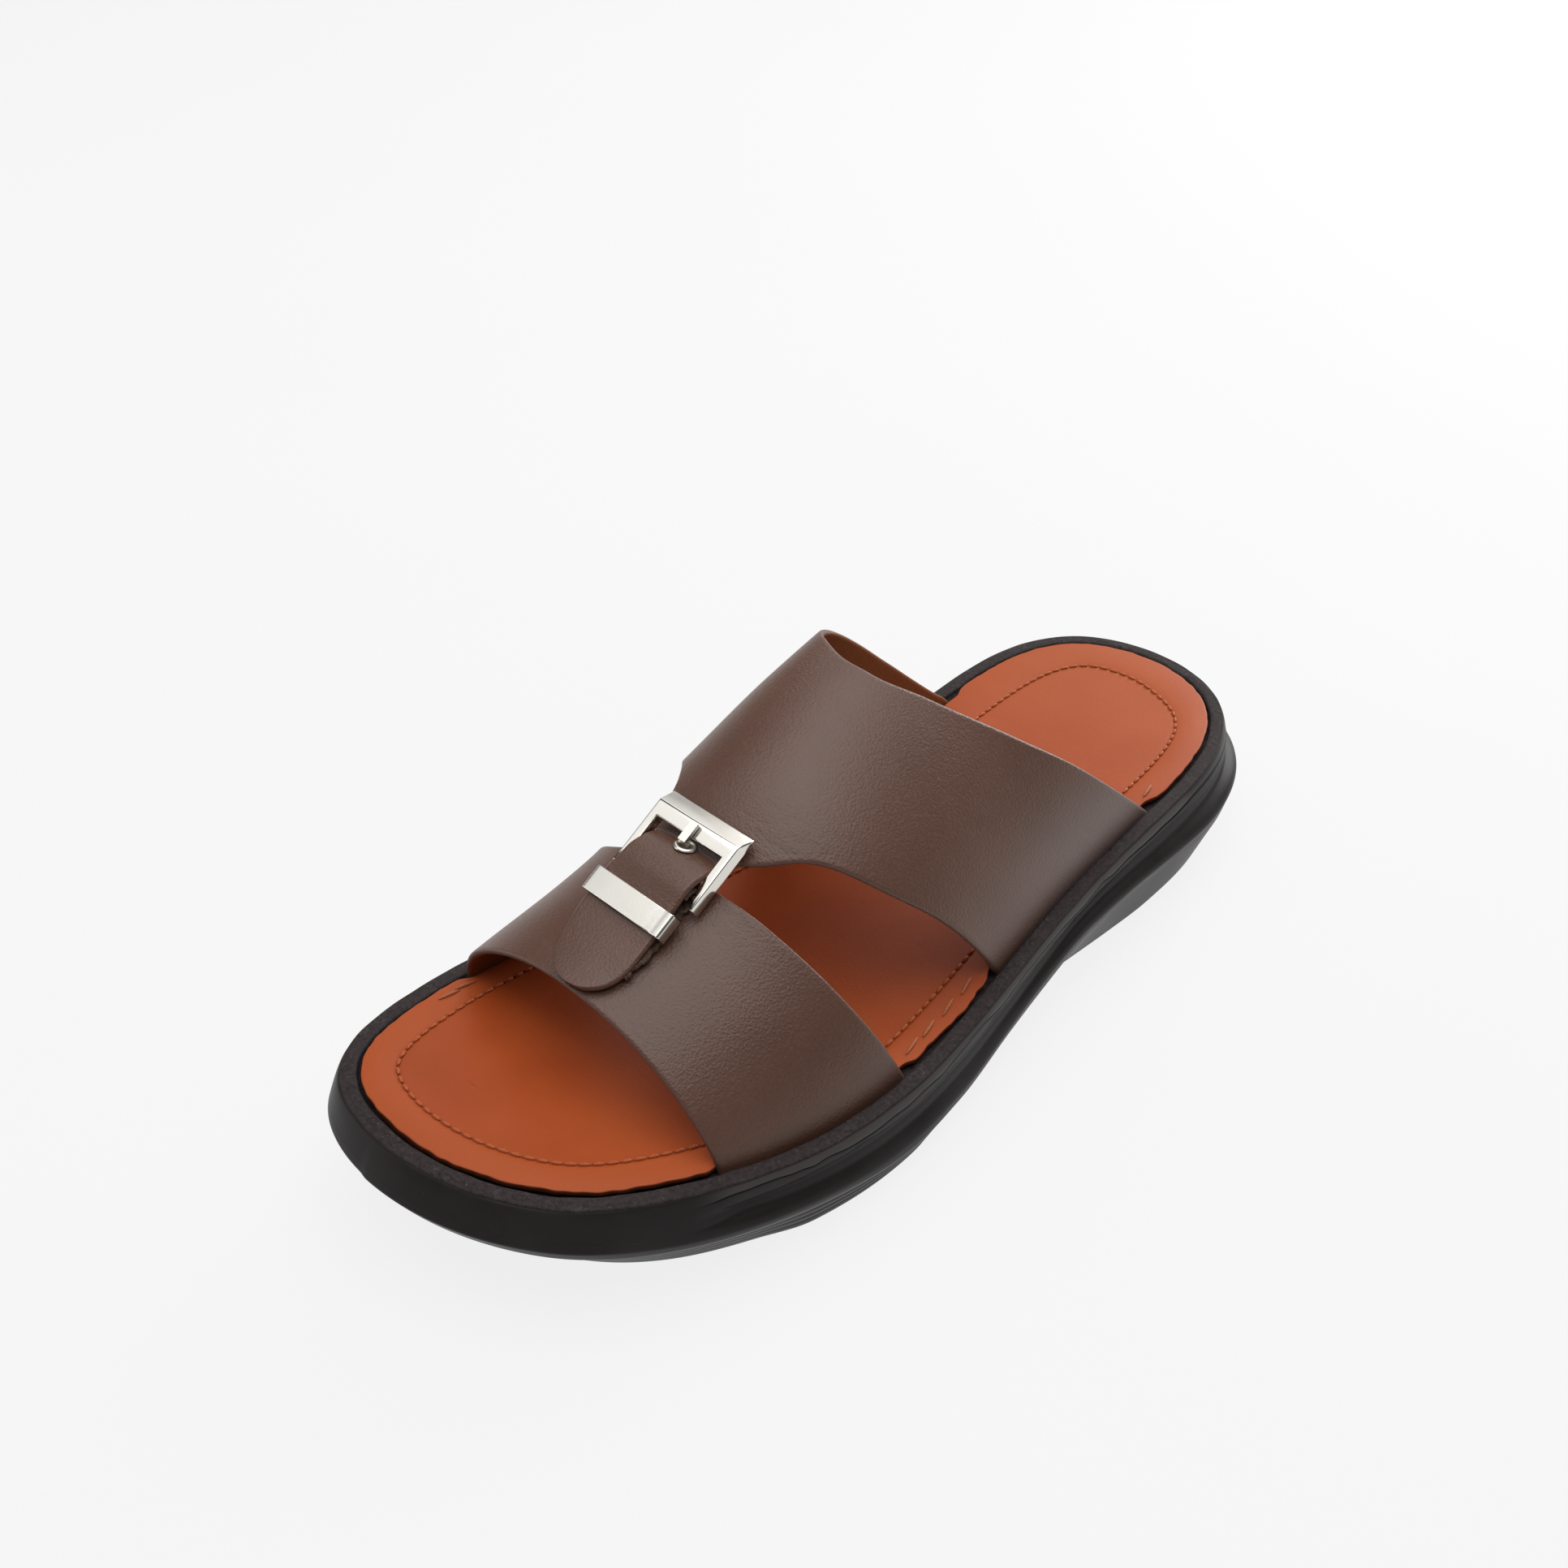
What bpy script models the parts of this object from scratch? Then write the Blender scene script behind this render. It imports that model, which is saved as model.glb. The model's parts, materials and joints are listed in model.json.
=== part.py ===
"""Left slide sandal: two leather straps, a frame buckle, an insole board and a moulded rubber sole.

Sizes are in millimetres and become metres when a mesh is made. The toe points to -Y, the outer side of
the foot is +X, and the sole stands on Z = 0 with the middle of its outline over the origin.
"""

import math
from collections import namedtuple

import bmesh
import bpy
import numpy as np
from mathutils import Vector

# Driving sizes
MM = 0.001
OBJECT_NAME = "buckled_slide_sandal"
CLEARANCE = 0.3
RIM_POINTS = 96
WELT_THICK = 4.8
RIM_WIDTH = 4.2
RIM_ROUND = 0.5
TRAY_DEPTH = 3.2
INSOLE_INSET = 5.3
SLOT_INSET = 7.2
SLOT_MARGIN = 7.5
STRAP_INSET = 4.8
STRAP_THICK = 1.8
WAIST_DROP = 1.2
WAIST_HOLLOW = 0.4
SHOULDER_RISE = 2.6
SHOULDER_SHARE = 0.75
BULGE_OUTWARD = 1.6
TAIL_COLUMNS = 6
TAIL_INNER_TURN = 77
TAIL_OUTER_TURN = 102
SIDE_COLUMNS = 13
STRAP_ROWS = 10
FRONT_COLUMNS = 28
INNER_SPACING = 1.3
OUTER_SPACING = 1.15
SHARP_ANGLE = 35

# The welt's outer edge seen from above, heel first and then round by the outer side
Landmark = namedtuple("Landmark", "place x y")
OUTLINE = (
    Landmark("heel", 0.0, 143.5),
    Landmark("outer heel corner", 22.8, 134.8),
    Landmark("outer heel", 39.2, 105.8),
    Landmark("outer waist", 47.7, 32.3),
    Landmark("outer ball", 58.2, -54.8),
    Landmark("outer toe side", 43.4, -111.8),
    Landmark("outer toe corner", 27.5, -131.7),
    Landmark("toe", -1.2, -143.5),
    Landmark("inner toe corner", -34.4, -138.0),
    Landmark("inner toe side", -47.6, -109.3),
    Landmark("inner ball", -47.4, -56.3),
    Landmark("inner waist", -36.5, 20.0),
    Landmark("inner heel", -40.3, 106.0),
    Landmark("inner heel corner", -26.2, 136.2),
)

# The sole's side: heights above the floor, and how far each line stands out from the welt's edge
SoleRow = namedtuple(
    "SoleRow", "y rim welt_out waist_out bulge_out bulge ridge_out ridge floor_in floor inner_share")
SOLE = (
    SoleRow(-150, 34.4, 2.4, 3.2, 4.7, 25.2, 2.8, 22.0, 10.4, 12.0, 1.0),
    SoleRow(-137, 33.1, 2.2, 2.9, 4.2, 24.0, 2.5, 20.5, 8.9, 9.2, 0.8),
    SoleRow(-124, 31.6, 1.7, 2.1, 3.5, 21.5, 2.2, 18.2, 7.0, 6.5, 0.45),
    SoleRow(-105, 29.3, 0.8, 0.2, 2.6, 17.0, 1.9, 14.5, 5.0, 3.3, 0.4),
    SoleRow(-87, 27.3, 0.5, -0.3, 2.2, 14.0, 1.7, 12.0, 4.0, 1.2, 0.5),
    SoleRow(-72, 26.0, 0.4, -0.3, 2.0, 12.2, 1.6, 10.3, 2.1, 0.0, 0.6),
    SoleRow(-40, 25.3, 0.4, -0.3, 2.0, 9.6, 1.8, 7.2, 1.1, 0.0, 0.7),
    SoleRow(-24, 26.1, 0.4, -0.3, 1.7, 9.8, 1.3, 7.2, 2.8, 0.5, 0.7),
    SoleRow(0, 27.9, 0.4, -0.3, 1.5, 13.3, 0.9, 10.5, 7.0, 4.0, 0.7),
    SoleRow(20, 29.7, 0.4, -0.3, 1.7, 16.6, 1.1, 13.3, 6.0, 5.5, 0.7),
    SoleRow(40, 31.5, 0.4, -0.3, 2.2, 19.2, 1.6, 16.4, 3.8, 3.4, 0.7),
    SoleRow(60, 32.8, 0.5, 0.0, 2.8, 19.4, 2.0, 16.8, 2.6, 1.1, 0.6),
    SoleRow(78, 33.4, 0.7, 0.4, 3.6, 19.0, 2.6, 15.6, 1.6, 0.0, 0.6),
    SoleRow(105, 33.6, 1.0, 1.0, 5.2, 18.5, 3.8, 12.8, 0.6, 0.0, 0.6),
    SoleRow(128, 33.3, 1.1, 1.2, 5.6, 18.5, 4.2, 12.2, 0.8, 0.0, 0.8),
    SoleRow(150, 33.0, 1.1, 1.2, 5.4, 18.5, 4.0, 12.2, 2.6, 0.0, 1.0),
)

# Ribs on the sole's lower wall: how far down from the ridge to the floor, and the groove's depth there
Rib = namedtuple("Rib", "down depth")
RIBS = (
    Rib(0.40, 0.0),
    Rib(0.47, 0.7),
    Rib(0.54, 0.0),
    Rib(0.70, 0.0),
    Rib(0.77, 0.7),
    Rib(0.84, 0.0),
)
RIBBED_WALL = 8.0

# The insole's upper side, from its rolled border to its middle: distance in from the rim, height over it
Fold = namedtuple("Fold", "inset rise")
INSOLE_FOLDS = (
    Fold(9.8, 0.9),
    Fold(13.5, 0.2),
    Fold(19.3, 0.1),
)
INSOLE_ROUND = 1.0

# The last over the insole: crest height, its lean to the inner side, and the fullness of both flanks
LastRow = namedtuple("LastRow", "y crest lean inner_power outer_power")
LAST = (
    LastRow(-100, 53.4, -1.6, 0.63, 0.60),
    LastRow(-62, 67.2, -4.8, 0.55, 0.57),
    LastRow(-35, 82.9, -9.0, 0.43, 0.54),
    LastRow(-5, 92.2, -15.5, 0.34, 0.51),
    LastRow(20, 96.8, -18.2, 0.30, 0.50),
    LastRow(60, 106.8, -18.2, 0.30, 0.50),
    LastRow(85, 110.8, -18.2, 0.30, 0.50),
)

# Strap edges by the turn over the last: 0 is the inner foot of a strap, 90 its crest, 180 its outer foot
INNER_FOOT, OUTER_FOOT = 0, 180
EdgeRow = namedtuple("EdgeRow", "turn toe_edge arch_edge")
FRONT_EDGES = (
    EdgeRow(0, -93.6, -40.0),
    EdgeRow(16, -94.6, -46.0),
    EdgeRow(38, -95.8, -55.5),
    EdgeRow(61, -96.4, -60.0),
    EdgeRow(90, -96.5, -60.5),
    EdgeRow(119, -95.8, -57.0),
    EdgeRow(142, -95.0, -52.0),
    EdgeRow(164, -94.1, -45.0),
    EdgeRow(180, -93.6, -39.0),
)
REAR_EDGES = (
    EdgeRow(0, 0.5, 79.0),
    EdgeRow(1, -3.0, 72.4),
    EdgeRow(2, -4.9, 68.6),
    EdgeRow(5, -8.5, 61.0),
    EdgeRow(10, -12.9, 52.4),
    EdgeRow(19, -18.0, 41.5),
    EdgeRow(41, -30.5, 24.0),
    EdgeRow(64, -44.0, 11.0),
    EdgeRow(77, -51.8, 6.2),
    EdgeRow(90, -54.0, 2.6),
    EdgeRow(102, -52.2, 3.95),
    EdgeRow(119, -41.0, 12.5),
    EdgeRow(139, -28.2, 29.0),
    EdgeRow(153, -17.3, 44.0),
    EdgeRow(165, -8.6, 58.0),
    EdgeRow(176, -1.2, 72.5),
    EdgeRow(180, 1.0, 78.0),
)

# The tail of the rear strap: upper side, half width and the drop of its borders at each station
TailRow = namedtuple("TailRow", "y upper half_width camber axis")
TAIL = (
    TailRow(-97.0, 57.2, 2.0, 0.1, -0.4),
    TailRow(-96.2, 57.5, 4.8, 0.2, -0.3),
    TailRow(-94.0, 58.3, 7.6, 0.5, -0.3),
    TailRow(-90.5, 59.6, 9.6, 0.8, -0.5),
    TailRow(-86.0, 61.5, 10.4, 0.6, -0.8),
    TailRow(-80.5, 63.9, 10.6, 0.2, -1.2),
    TailRow(-75.5, 66.8, 10.6, 0.0, -1.5),
    TailRow(-71.5, 69.7, 10.6, 0.2, -1.5),
    TailRow(-68.5, 72.15, 10.5, 0.3, -1.5),
    TailRow(-65.5, 73.25, 10.4, 0.3, -1.5),
    TailRow(-62.0, 73.35, 10.4, 0.3, -1.5),
    TailRow(-58.5, 72.7, 10.4, 0.4, -1.5),
    TailRow(-55.5, 71.8, 10.4, 0.8, -1.5),
)

# Buckle: a frame tilted about its pin, with along measured from the pin to the rear bar
PIN_Y = -66.0
PIN_RADIUS = 1.0
PIN_OVERLAP = 1.0
BUCKLE_X = -1.7
FRAME_SLOPE = math.atan(0.63)
FRAME_THICK = 3.2
FRAME_HALF_INSIDE = 10.9
FRAME_HALF_TOP = 13.2
FRAME_HALF_FOOT = 13.7
BAR_INSIDE = 11.4
BAR_CREST = 14.6
BAR_FOOT = 19.4
FRAME_END = -2.9
FRAME_EDGE = 0.35
LOOP_THICK = 1.0
LOOP_HALF_WIDTH = 8.6
LOOP_END_Y = -74.8
LOOP_RETURN_Y = -68.3
LOOP_RETURN_DROP = 1.0
LOOP_SLOT = (3.6, 7.6, 8.0)
PRONG_WIDTH = 1.9
PRONG_THICK = 0.9
PRONG_PLAY = 0.2
PRONG_RING = (-150, 40)
EYELET_Y = -59.0
EYELET_HOLE = 2.3
PUNCH_DEPTH = 12.0
KEEPER_Y = -75.6
KEEPER_SLOPE = math.atan(0.62)
KEEPER_PLAY = 0.4
KEEPER_HALF_WIDTH = 13.0
KEEPER_LENGTH = 6.4
KEEPER_THICK = 0.9
KEEPER_CORNER = 0.8
TAIL_THICK = 1.8

# The prong's bends on its way up through the eyelet, from the eyelet's middle on the leather
Bend = namedtuple("Bend", "along up")
PRONG_BENDS = (
    Bend(-2.4, -3.1),
    Bend(-0.45, -1.8),
    Bend(-0.1, 1.3),
)

# Turned profile of the eyelet: bore, rolled flange over the leather, barrel in the hole
EyeletRow = namedtuple("EyeletRow", "radius height")
EYELET = (
    EyeletRow(1.55, 0.6),
    EyeletRow(1.8, 0.8),
    EyeletRow(2.2, 0.8),
    EyeletRow(2.6, 0.6),
    EyeletRow(2.6, 0.3),
    EyeletRow(2.0, 0.3),
    EyeletRow(2.0, -1.8),
    EyeletRow(1.55, -1.8),
)

# Colour, roughness and metallic value of each material
FINISHES = {
    "black_rubber": ((0.018, 0.016, 0.016), 0.42, 0.0),
    "dark_board": ((0.035, 0.024, 0.023), 0.75, 0.0),
    "tan_leather": ((0.40, 0.10, 0.03), 0.55, 0.0),
    "brown_leather": ((0.105, 0.052, 0.036), 0.48, 0.0),
    "raw_leather": ((0.060, 0.032, 0.022), 0.90, 0.0),
    "nickel": ((0.72, 0.70, 0.65), 0.18, 1.0),
}


def smooth_column(rows, column):
    """Return a function of the row's first column: a monotone cubic through another column."""
    places = np.array([row[0] for row in rows], float)
    values = np.array([getattr(row, column) for row in rows], float)
    steps = np.diff(places)
    slopes = np.diff(values) / steps
    tangents = np.concatenate(([slopes[0]], np.zeros(len(rows) - 2), [slopes[-1]]))
    for i in range(1, len(rows) - 1):
        before, after = slopes[i - 1], slopes[i]
        if before * after > 0:
            near, far = 2 * steps[i] + steps[i - 1], steps[i] + 2 * steps[i - 1]
            tangents[i] = (near + far) / (near / before + far / after)

    def value(place):
        place = np.clip(np.asarray(place, float), places[0], places[-1])
        i = np.clip(np.searchsorted(places, place) - 1, 0, len(steps) - 1)
        t = (place - places[i]) / steps[i]
        rise = tangents[i] * steps[i], tangents[i + 1] * steps[i]
        ease = t * t * (3 - 2 * t)
        return (values[i] * (1 - ease) + values[i + 1] * ease
                + rise[0] * t * (1 - t) ** 2 + rise[1] * t * t * (t - 1))

    return value


def columns(rows):
    """Return every column of a table but the first as a function, by name."""
    return {name: smooth_column(rows, name) for name in rows[0]._fields[1:]}


def closed_spline(points, per_span=60):
    """Return a dense closed cubic spline through the points, with centripetal spacing."""
    count = len(points)
    spans = np.linalg.norm(np.roll(points, -1, axis=0) - points, axis=1) ** 0.5
    matrix = np.zeros((count, count))
    target = np.zeros_like(points)
    for i in range(count):
        before, after, following = spans[i - 1], spans[i], (i + 1) % count
        matrix[i, i - 1] = after
        matrix[i, i] = 2 * (before + after)
        matrix[i, following] = before
        target[i] = 3 * (after * (points[i] - points[i - 1]) / before
                         + before * (points[following] - points[i]) / after)
    slopes = np.linalg.solve(matrix, target)
    t = np.linspace(0, 1, per_span, endpoint=False)[:, None]
    pieces = []
    for i in range(count):
        following = (i + 1) % count
        pieces.append(points[i] * (1 + 2 * t) * (1 - t) ** 2
                      + slopes[i] * spans[i] * t * (1 - t) ** 2
                      + points[following] * t * t * (3 - 2 * t)
                      + slopes[following] * spans[i] * t * t * (t - 1))
    return np.vstack(pieces)


def even_run(points, count):
    """Return count + 1 points at even lengths along a polyline."""
    length = np.concatenate(([0], np.cumsum(np.linalg.norm(np.diff(points, axis=0), axis=1))))
    marks = np.linspace(0, length[-1], count + 1)
    return np.stack([np.interp(marks, length, points[:, axis]) for axis in (0, 1)], axis=1)


def rim_outline():
    """Return the welt's outer edge from the heel by the outer side to the toe and back, and its normals."""
    curve = closed_spline(np.array([(mark.x, mark.y) for mark in OUTLINE]))
    toe = int(np.argmin(curve[:, 1]))
    heel_again = np.vstack([curve[toe:], curve[:1]])
    half = RIM_POINTS // 2
    outline = np.vstack([even_run(curve[:toe + 1], half)[:-1], even_run(heel_again, half)[:-1]])
    along = np.roll(outline, -1, axis=0) - np.roll(outline, 1, axis=0)
    along /= np.linalg.norm(along, axis=1)[:, None]
    return outline, np.stack([-along[:, 1], along[:, 0]], axis=1)


SOLE_AT = columns(SOLE)
LAST_AT = columns(LAST)
FRONT_AT = columns(FRONT_EDGES)
REAR_AT = columns(REAR_EDGES)
TAIL_AT = columns(TAIL)
RIM, RIM_OUT = rim_outline()
RIM_Y = RIM[:, 1]
RIM_Z = SOLE_AT["rim"](RIM_Y)


def ring(out, height):
    """Return the rim outline moved outwards by out and set at a height; both may vary round it."""
    moved = RIM + RIM_OUT * np.broadcast_to(out, len(RIM))[:, None]
    return np.column_stack([moved, np.broadcast_to(height, len(RIM))])


def sole_side():
    """Return the sole's columns round the rim, with less flare on the inner side of the foot."""
    at = {name: column(RIM_Y) for name, column in SOLE_AT.items()}
    share = np.where(np.arange(len(RIM)) > len(RIM) // 2, at.pop("inner_share"), 1.0)
    for name in ("welt_out", "waist_out", "bulge_out", "ridge_out"):
        at[name] = at[name] * share
    return at


SIDE_AT = sole_side()
WIDEST = ring(SIDE_AT["bulge_out"], 0.0)
MIDDLE = np.array([*(WIDEST.min(axis=0) + WIDEST.max(axis=0))[:2] / 2, 0.0])


def metres(points):
    """Move points from the outline's own middle to the origin and turn millimetres into metres."""
    return (np.asarray(points, float) - MIDDLE) * MM


def collection(name):
    """Return a new collection in the scene."""
    group = bpy.data.collections.new(name)
    bpy.context.scene.collection.children.link(group)
    return group


def finish(name):
    """Return the Principled material of a finish, made once."""
    if name in bpy.data.materials:
        return bpy.data.materials[name]
    material = bpy.data.materials.new(name)
    material.use_nodes = True
    colour, roughness, metallic = FINISHES[name]
    shader = material.node_tree.nodes["Principled BSDF"]
    shader.inputs["Base Color"].default_value = (*colour, 1.0)
    shader.inputs["Roughness"].default_value = roughness
    shader.inputs["Metallic"].default_value = metallic
    return material


def add_part(name, bm, material):
    """Turn a bmesh into a named part in the parts collection."""
    mesh = bpy.data.meshes.new(name)
    bm.to_mesh(mesh)
    bm.free()
    mesh.shade_smooth()
    mesh.set_sharp_from_angle(angle=math.radians(SHARP_ANGLE))
    mesh.materials.append(finish(material))
    part = bpy.data.objects.new(name, mesh)
    PARTS.objects.link(part)
    return part


def hide_tool(name):
    """Name the active object, a cutter or a piece to be joined, and move it to the cutters collection."""
    tool = bpy.context.object
    tool.name = name
    tool.hide_render = True
    tool.display_type = "WIRE"
    for group in tool.users_collection:
        group.objects.unlink(tool)
    CUTTERS.objects.link(tool)
    return tool


def combine(part, name, tool, operation="DIFFERENCE"):
    """Cut a tool from a part, or join it to the part, with a Boolean modifier."""
    step = part.modifiers.new(name, "BOOLEAN")
    step.operation = operation
    step.object = tool


def loft(name, rings, material):
    """Join a stack of rings into a solid whose two ends are ladders from the outer to the inner side."""
    bm = bmesh.new()
    loops = [[bm.verts.new(point) for point in metres(points)] for points in rings]
    count = len(RIM)
    for lower, upper in zip(loops, loops[1:]):
        for i in range(count):
            bm.faces.new((lower[i - 1], lower[i], upper[i], upper[i - 1]))
    for loop in (loops[0], loops[-1]):
        for i in range(count // 2):
            rung = (loop[i], loop[i + 1], loop[count - i - 1], loop[-i])
            bm.faces.new(tuple(dict.fromkeys(rung)))
    bmesh.ops.recalc_face_normals(bm, faces=bm.faces)
    return add_part(name, bm, material)


def sheet(name, runs, thick, material, offset=-1.0, closed=False):
    """Join runs of points side by side into an open surface that faces up, and give it a thickness."""
    bm = bmesh.new()
    lines = [[bm.verts.new(point) for point in metres(run)] for run in runs]
    pairs = list(zip(lines, lines[1:] + lines[:1] if closed else lines[1:]))
    for left, right in pairs:
        for k in range(min(len(left), len(right)) - 1):
            bm.faces.new((left[k], right[k], right[k + 1], left[k + 1]))
    bmesh.ops.recalc_face_normals(bm, faces=bm.faces)
    if sum(face.normal.z * face.calc_area() for face in bm.faces) < 0:
        bmesh.ops.reverse_faces(bm, faces=bm.faces)
    part = add_part(name, bm, material)
    wall = part.modifiers.new("thickness", "SOLIDIFY")
    wall.thickness = thick * MM
    wall.offset = offset
    wall.use_even_offset = True
    return part


def build_outsole():
    """Rubber sole: waist under the welt, bulge, ridge, ribbed lower wall, arch, toe spring and heel."""
    at = SIDE_AT
    top = at["rim"] - WELT_THICK - CLEARANCE
    shoulder = SHOULDER_SHARE * at["bulge_out"] + (1 - SHOULDER_SHARE) * at["waist_out"]
    rings = [
        ring(at["welt_out"], top),
        ring(at["waist_out"], top - WAIST_DROP),
        ring(at["waist_out"] + WAIST_HOLLOW, (top + at["bulge"]) / 2),
        ring(shoulder, at["bulge"] + SHOULDER_RISE),
        ring(at["bulge_out"], at["bulge"]),
        ring(at["ridge_out"], at["ridge"]),
    ]
    wall = at["ridge"] - at["floor"]
    fade = np.clip(wall / RIBBED_WALL, 0.0, 1.0)
    for rib in RIBS:
        out = at["ridge_out"] * (1 - rib.down) - at["floor_in"] * rib.down
        rings.append(ring(out - rib.depth * fade, at["ridge"] - wall * rib.down))
    rings.append(ring(-at["floor_in"], at["floor"]))
    return loft("outsole", rings, "black_rubber")


def build_welt():
    """Board between sole and insole: a flat rim, with a shallow tray that takes the insole."""
    tray = RIM_Z - TRAY_DEPTH
    rings = [
        ring(-RIM_WIDTH, tray),
        ring(-RIM_WIDTH, RIM_Z - RIM_ROUND),
        ring(-RIM_WIDTH + RIM_ROUND, RIM_Z),
        ring(-RIM_ROUND, RIM_Z),
        ring(0.0, RIM_Z - RIM_ROUND),
        ring(SIDE_AT["welt_out"], RIM_Z - WELT_THICK),
    ]
    return loft("welt", rings, "dark_board")


def insole_inset():
    """Return how far the insole's edge lies inside the rim: deeper where a strap goes down beside it."""
    toe = len(RIM) // 2
    inset = np.full(len(RIM), INSOLE_INSET)
    for edges in (FRONT_AT, REAR_AT):
        for turn, members in ((OUTER_FOOT, slice(0, toe)), (INNER_FOOT, slice(toe, None))):
            y = RIM_Y[members]
            within = ((y > edges["toe_edge"](turn) - SLOT_MARGIN)
                      & (y < edges["arch_edge"](turn) + SLOT_MARGIN))
            inset[members] = np.where(within, SLOT_INSET, inset[members])
    return inset


def build_insole():
    """Leather-covered footbed in the tray: a rolled border, a low seam line and a flat middle."""
    edge = insole_inset()
    floor = RIM_Z - TRAY_DEPTH + CLEARANCE
    rings = [
        ring(-edge, floor),
        ring(-edge, RIM_Z - INSOLE_ROUND / 2),
        ring(-edge - INSOLE_ROUND, RIM_Z + INSOLE_ROUND / 2),
    ]
    rings += [ring(-fold.inset, RIM_Z + fold.rise) for fold in INSOLE_FOLDS]
    return loft("insole", rings, "tan_leather")


STRAP_BASE = ring(-STRAP_INSET, 0.0)
HALF = len(RIM) // 2
OUTER_BASE = STRAP_BASE[:HALF + 1][::-1]
INNER_BASE = np.vstack([STRAP_BASE[HALF:], STRAP_BASE[:1]])


def last_point(y, turn):
    """Return a point of the last's upper side: turn runs from 0 at the inner foot to 180 at the outer."""
    across = -math.cos(math.radians(turn))
    inner = float(np.interp(y, INNER_BASE[:, 1], INNER_BASE[:, 0]))
    outer = float(np.interp(y, OUTER_BASE[:, 1], OUTER_BASE[:, 0]))
    base = float(SOLE_AT["rim"](y)) - TRAY_DEPTH + CLEARANCE
    spread = max(1 - across * across, 0.0)
    power = LAST_AT["inner_power" if across < 0 else "outer_power"](y)
    rise = spread ** float(power)
    swell = BULGE_OUTWARD * 4 * rise * (1 - rise) if across < 0 else 0.0
    x = (inner + outer) / 2 + (outer - inner) / 2 * across + float(LAST_AT["lean"](y)) * spread - swell
    return x, y, base + (float(LAST_AT["crest"](y)) - base) * rise


def strap_run(edges, turn):
    """Return one line of points on the last, from a strap's arch edge to its toe edge."""
    start, end = float(edges["arch_edge"](turn)), float(edges["toe_edge"](turn))
    return [last_point(start + (end - start) * k / STRAP_ROWS, turn) for k in range(STRAP_ROWS + 1)]


def build_front_strap():
    """Toe strap: one wall over the last, open at the toe and towards the arch."""
    runs = [strap_run(FRONT_AT, turn) for turn in np.linspace(INNER_FOOT, OUTER_FOOT, FRONT_COLUMNS + 1)]
    return sheet("front_strap", runs, STRAP_THICK, "brown_leather")


def tail_point(y, share):
    """Return a point on the tail's upper side; share runs from -1 at its inner border to 1."""
    x = float(TAIL_AT["axis"](y)) + share * float(TAIL_AT["half_width"](y))
    return x, y, float(TAIL_AT["upper"](y)) - float(TAIL_AT["camber"](y)) * share * share


def tail_slope(y):
    """Return the angle of the tail's rise towards the heel at a station."""
    rise = float(TAIL_AT["upper"](y + 1) - TAIL_AT["upper"](y - 1))
    return math.atan(rise / 2)


def build_rear_strap():
    """Instep strap whose middle runs forward as the tail that the buckle holds, with a punched hole."""
    shares = np.arange(SIDE_COLUMNS) / SIDE_COLUMNS
    inner = TAIL_INNER_TURN * shares ** INNER_SPACING
    outer = (OUTER_FOOT - (OUTER_FOOT - TAIL_OUTER_TURN) * shares ** OUTER_SPACING)[::-1]
    middle = np.linspace(TAIL_INNER_TURN, TAIL_OUTER_TURN, TAIL_COLUMNS + 1)
    runs = [strap_run(REAR_AT, turn) for turn in inner]
    stations = [row.y for row in reversed(TAIL)]
    for k, turn in enumerate(middle):
        share = 2 * k / TAIL_COLUMNS - 1
        runs.append(strap_run(REAR_AT, turn) + [tail_point(y, share) for y in stations])
    runs += [strap_run(REAR_AT, turn) for turn in outer]
    strap = sheet("rear_strap", runs, TAIL_THICK, "brown_leather")
    bpy.ops.mesh.primitive_cylinder_add(
        vertices=24, radius=EYELET_HOLE * MM, depth=PUNCH_DEPTH * MM,
        location=metres(tail_point(EYELET_Y, 0.0)), rotation=(tail_slope(EYELET_Y), 0, 0))
    combine(strap, "eyelet_hole", hide_tool("eyelet_punch"))
    return strap


def crest_height(y):
    """Return the height of the strap's crest at a station."""
    return float(LAST_AT["crest"](y))


def pin_centre():
    """Return y and z of the buckle's pin, which lies on the loop that lies on the front strap."""
    return np.array([PIN_Y, crest_height(PIN_Y) + 2 * CLEARANCE + LOOP_THICK + PIN_RADIUS])


def buckle_point(x, along, up):
    """Return a point of the tilted buckle frame, with its pin at along = up = 0."""
    y, z = pin_centre()
    cos, sin = math.cos(FRAME_SLOPE), math.sin(FRAME_SLOPE)
    return BUCKLE_X + x, y + along * cos - up * sin, z + along * sin + up * cos


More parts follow.
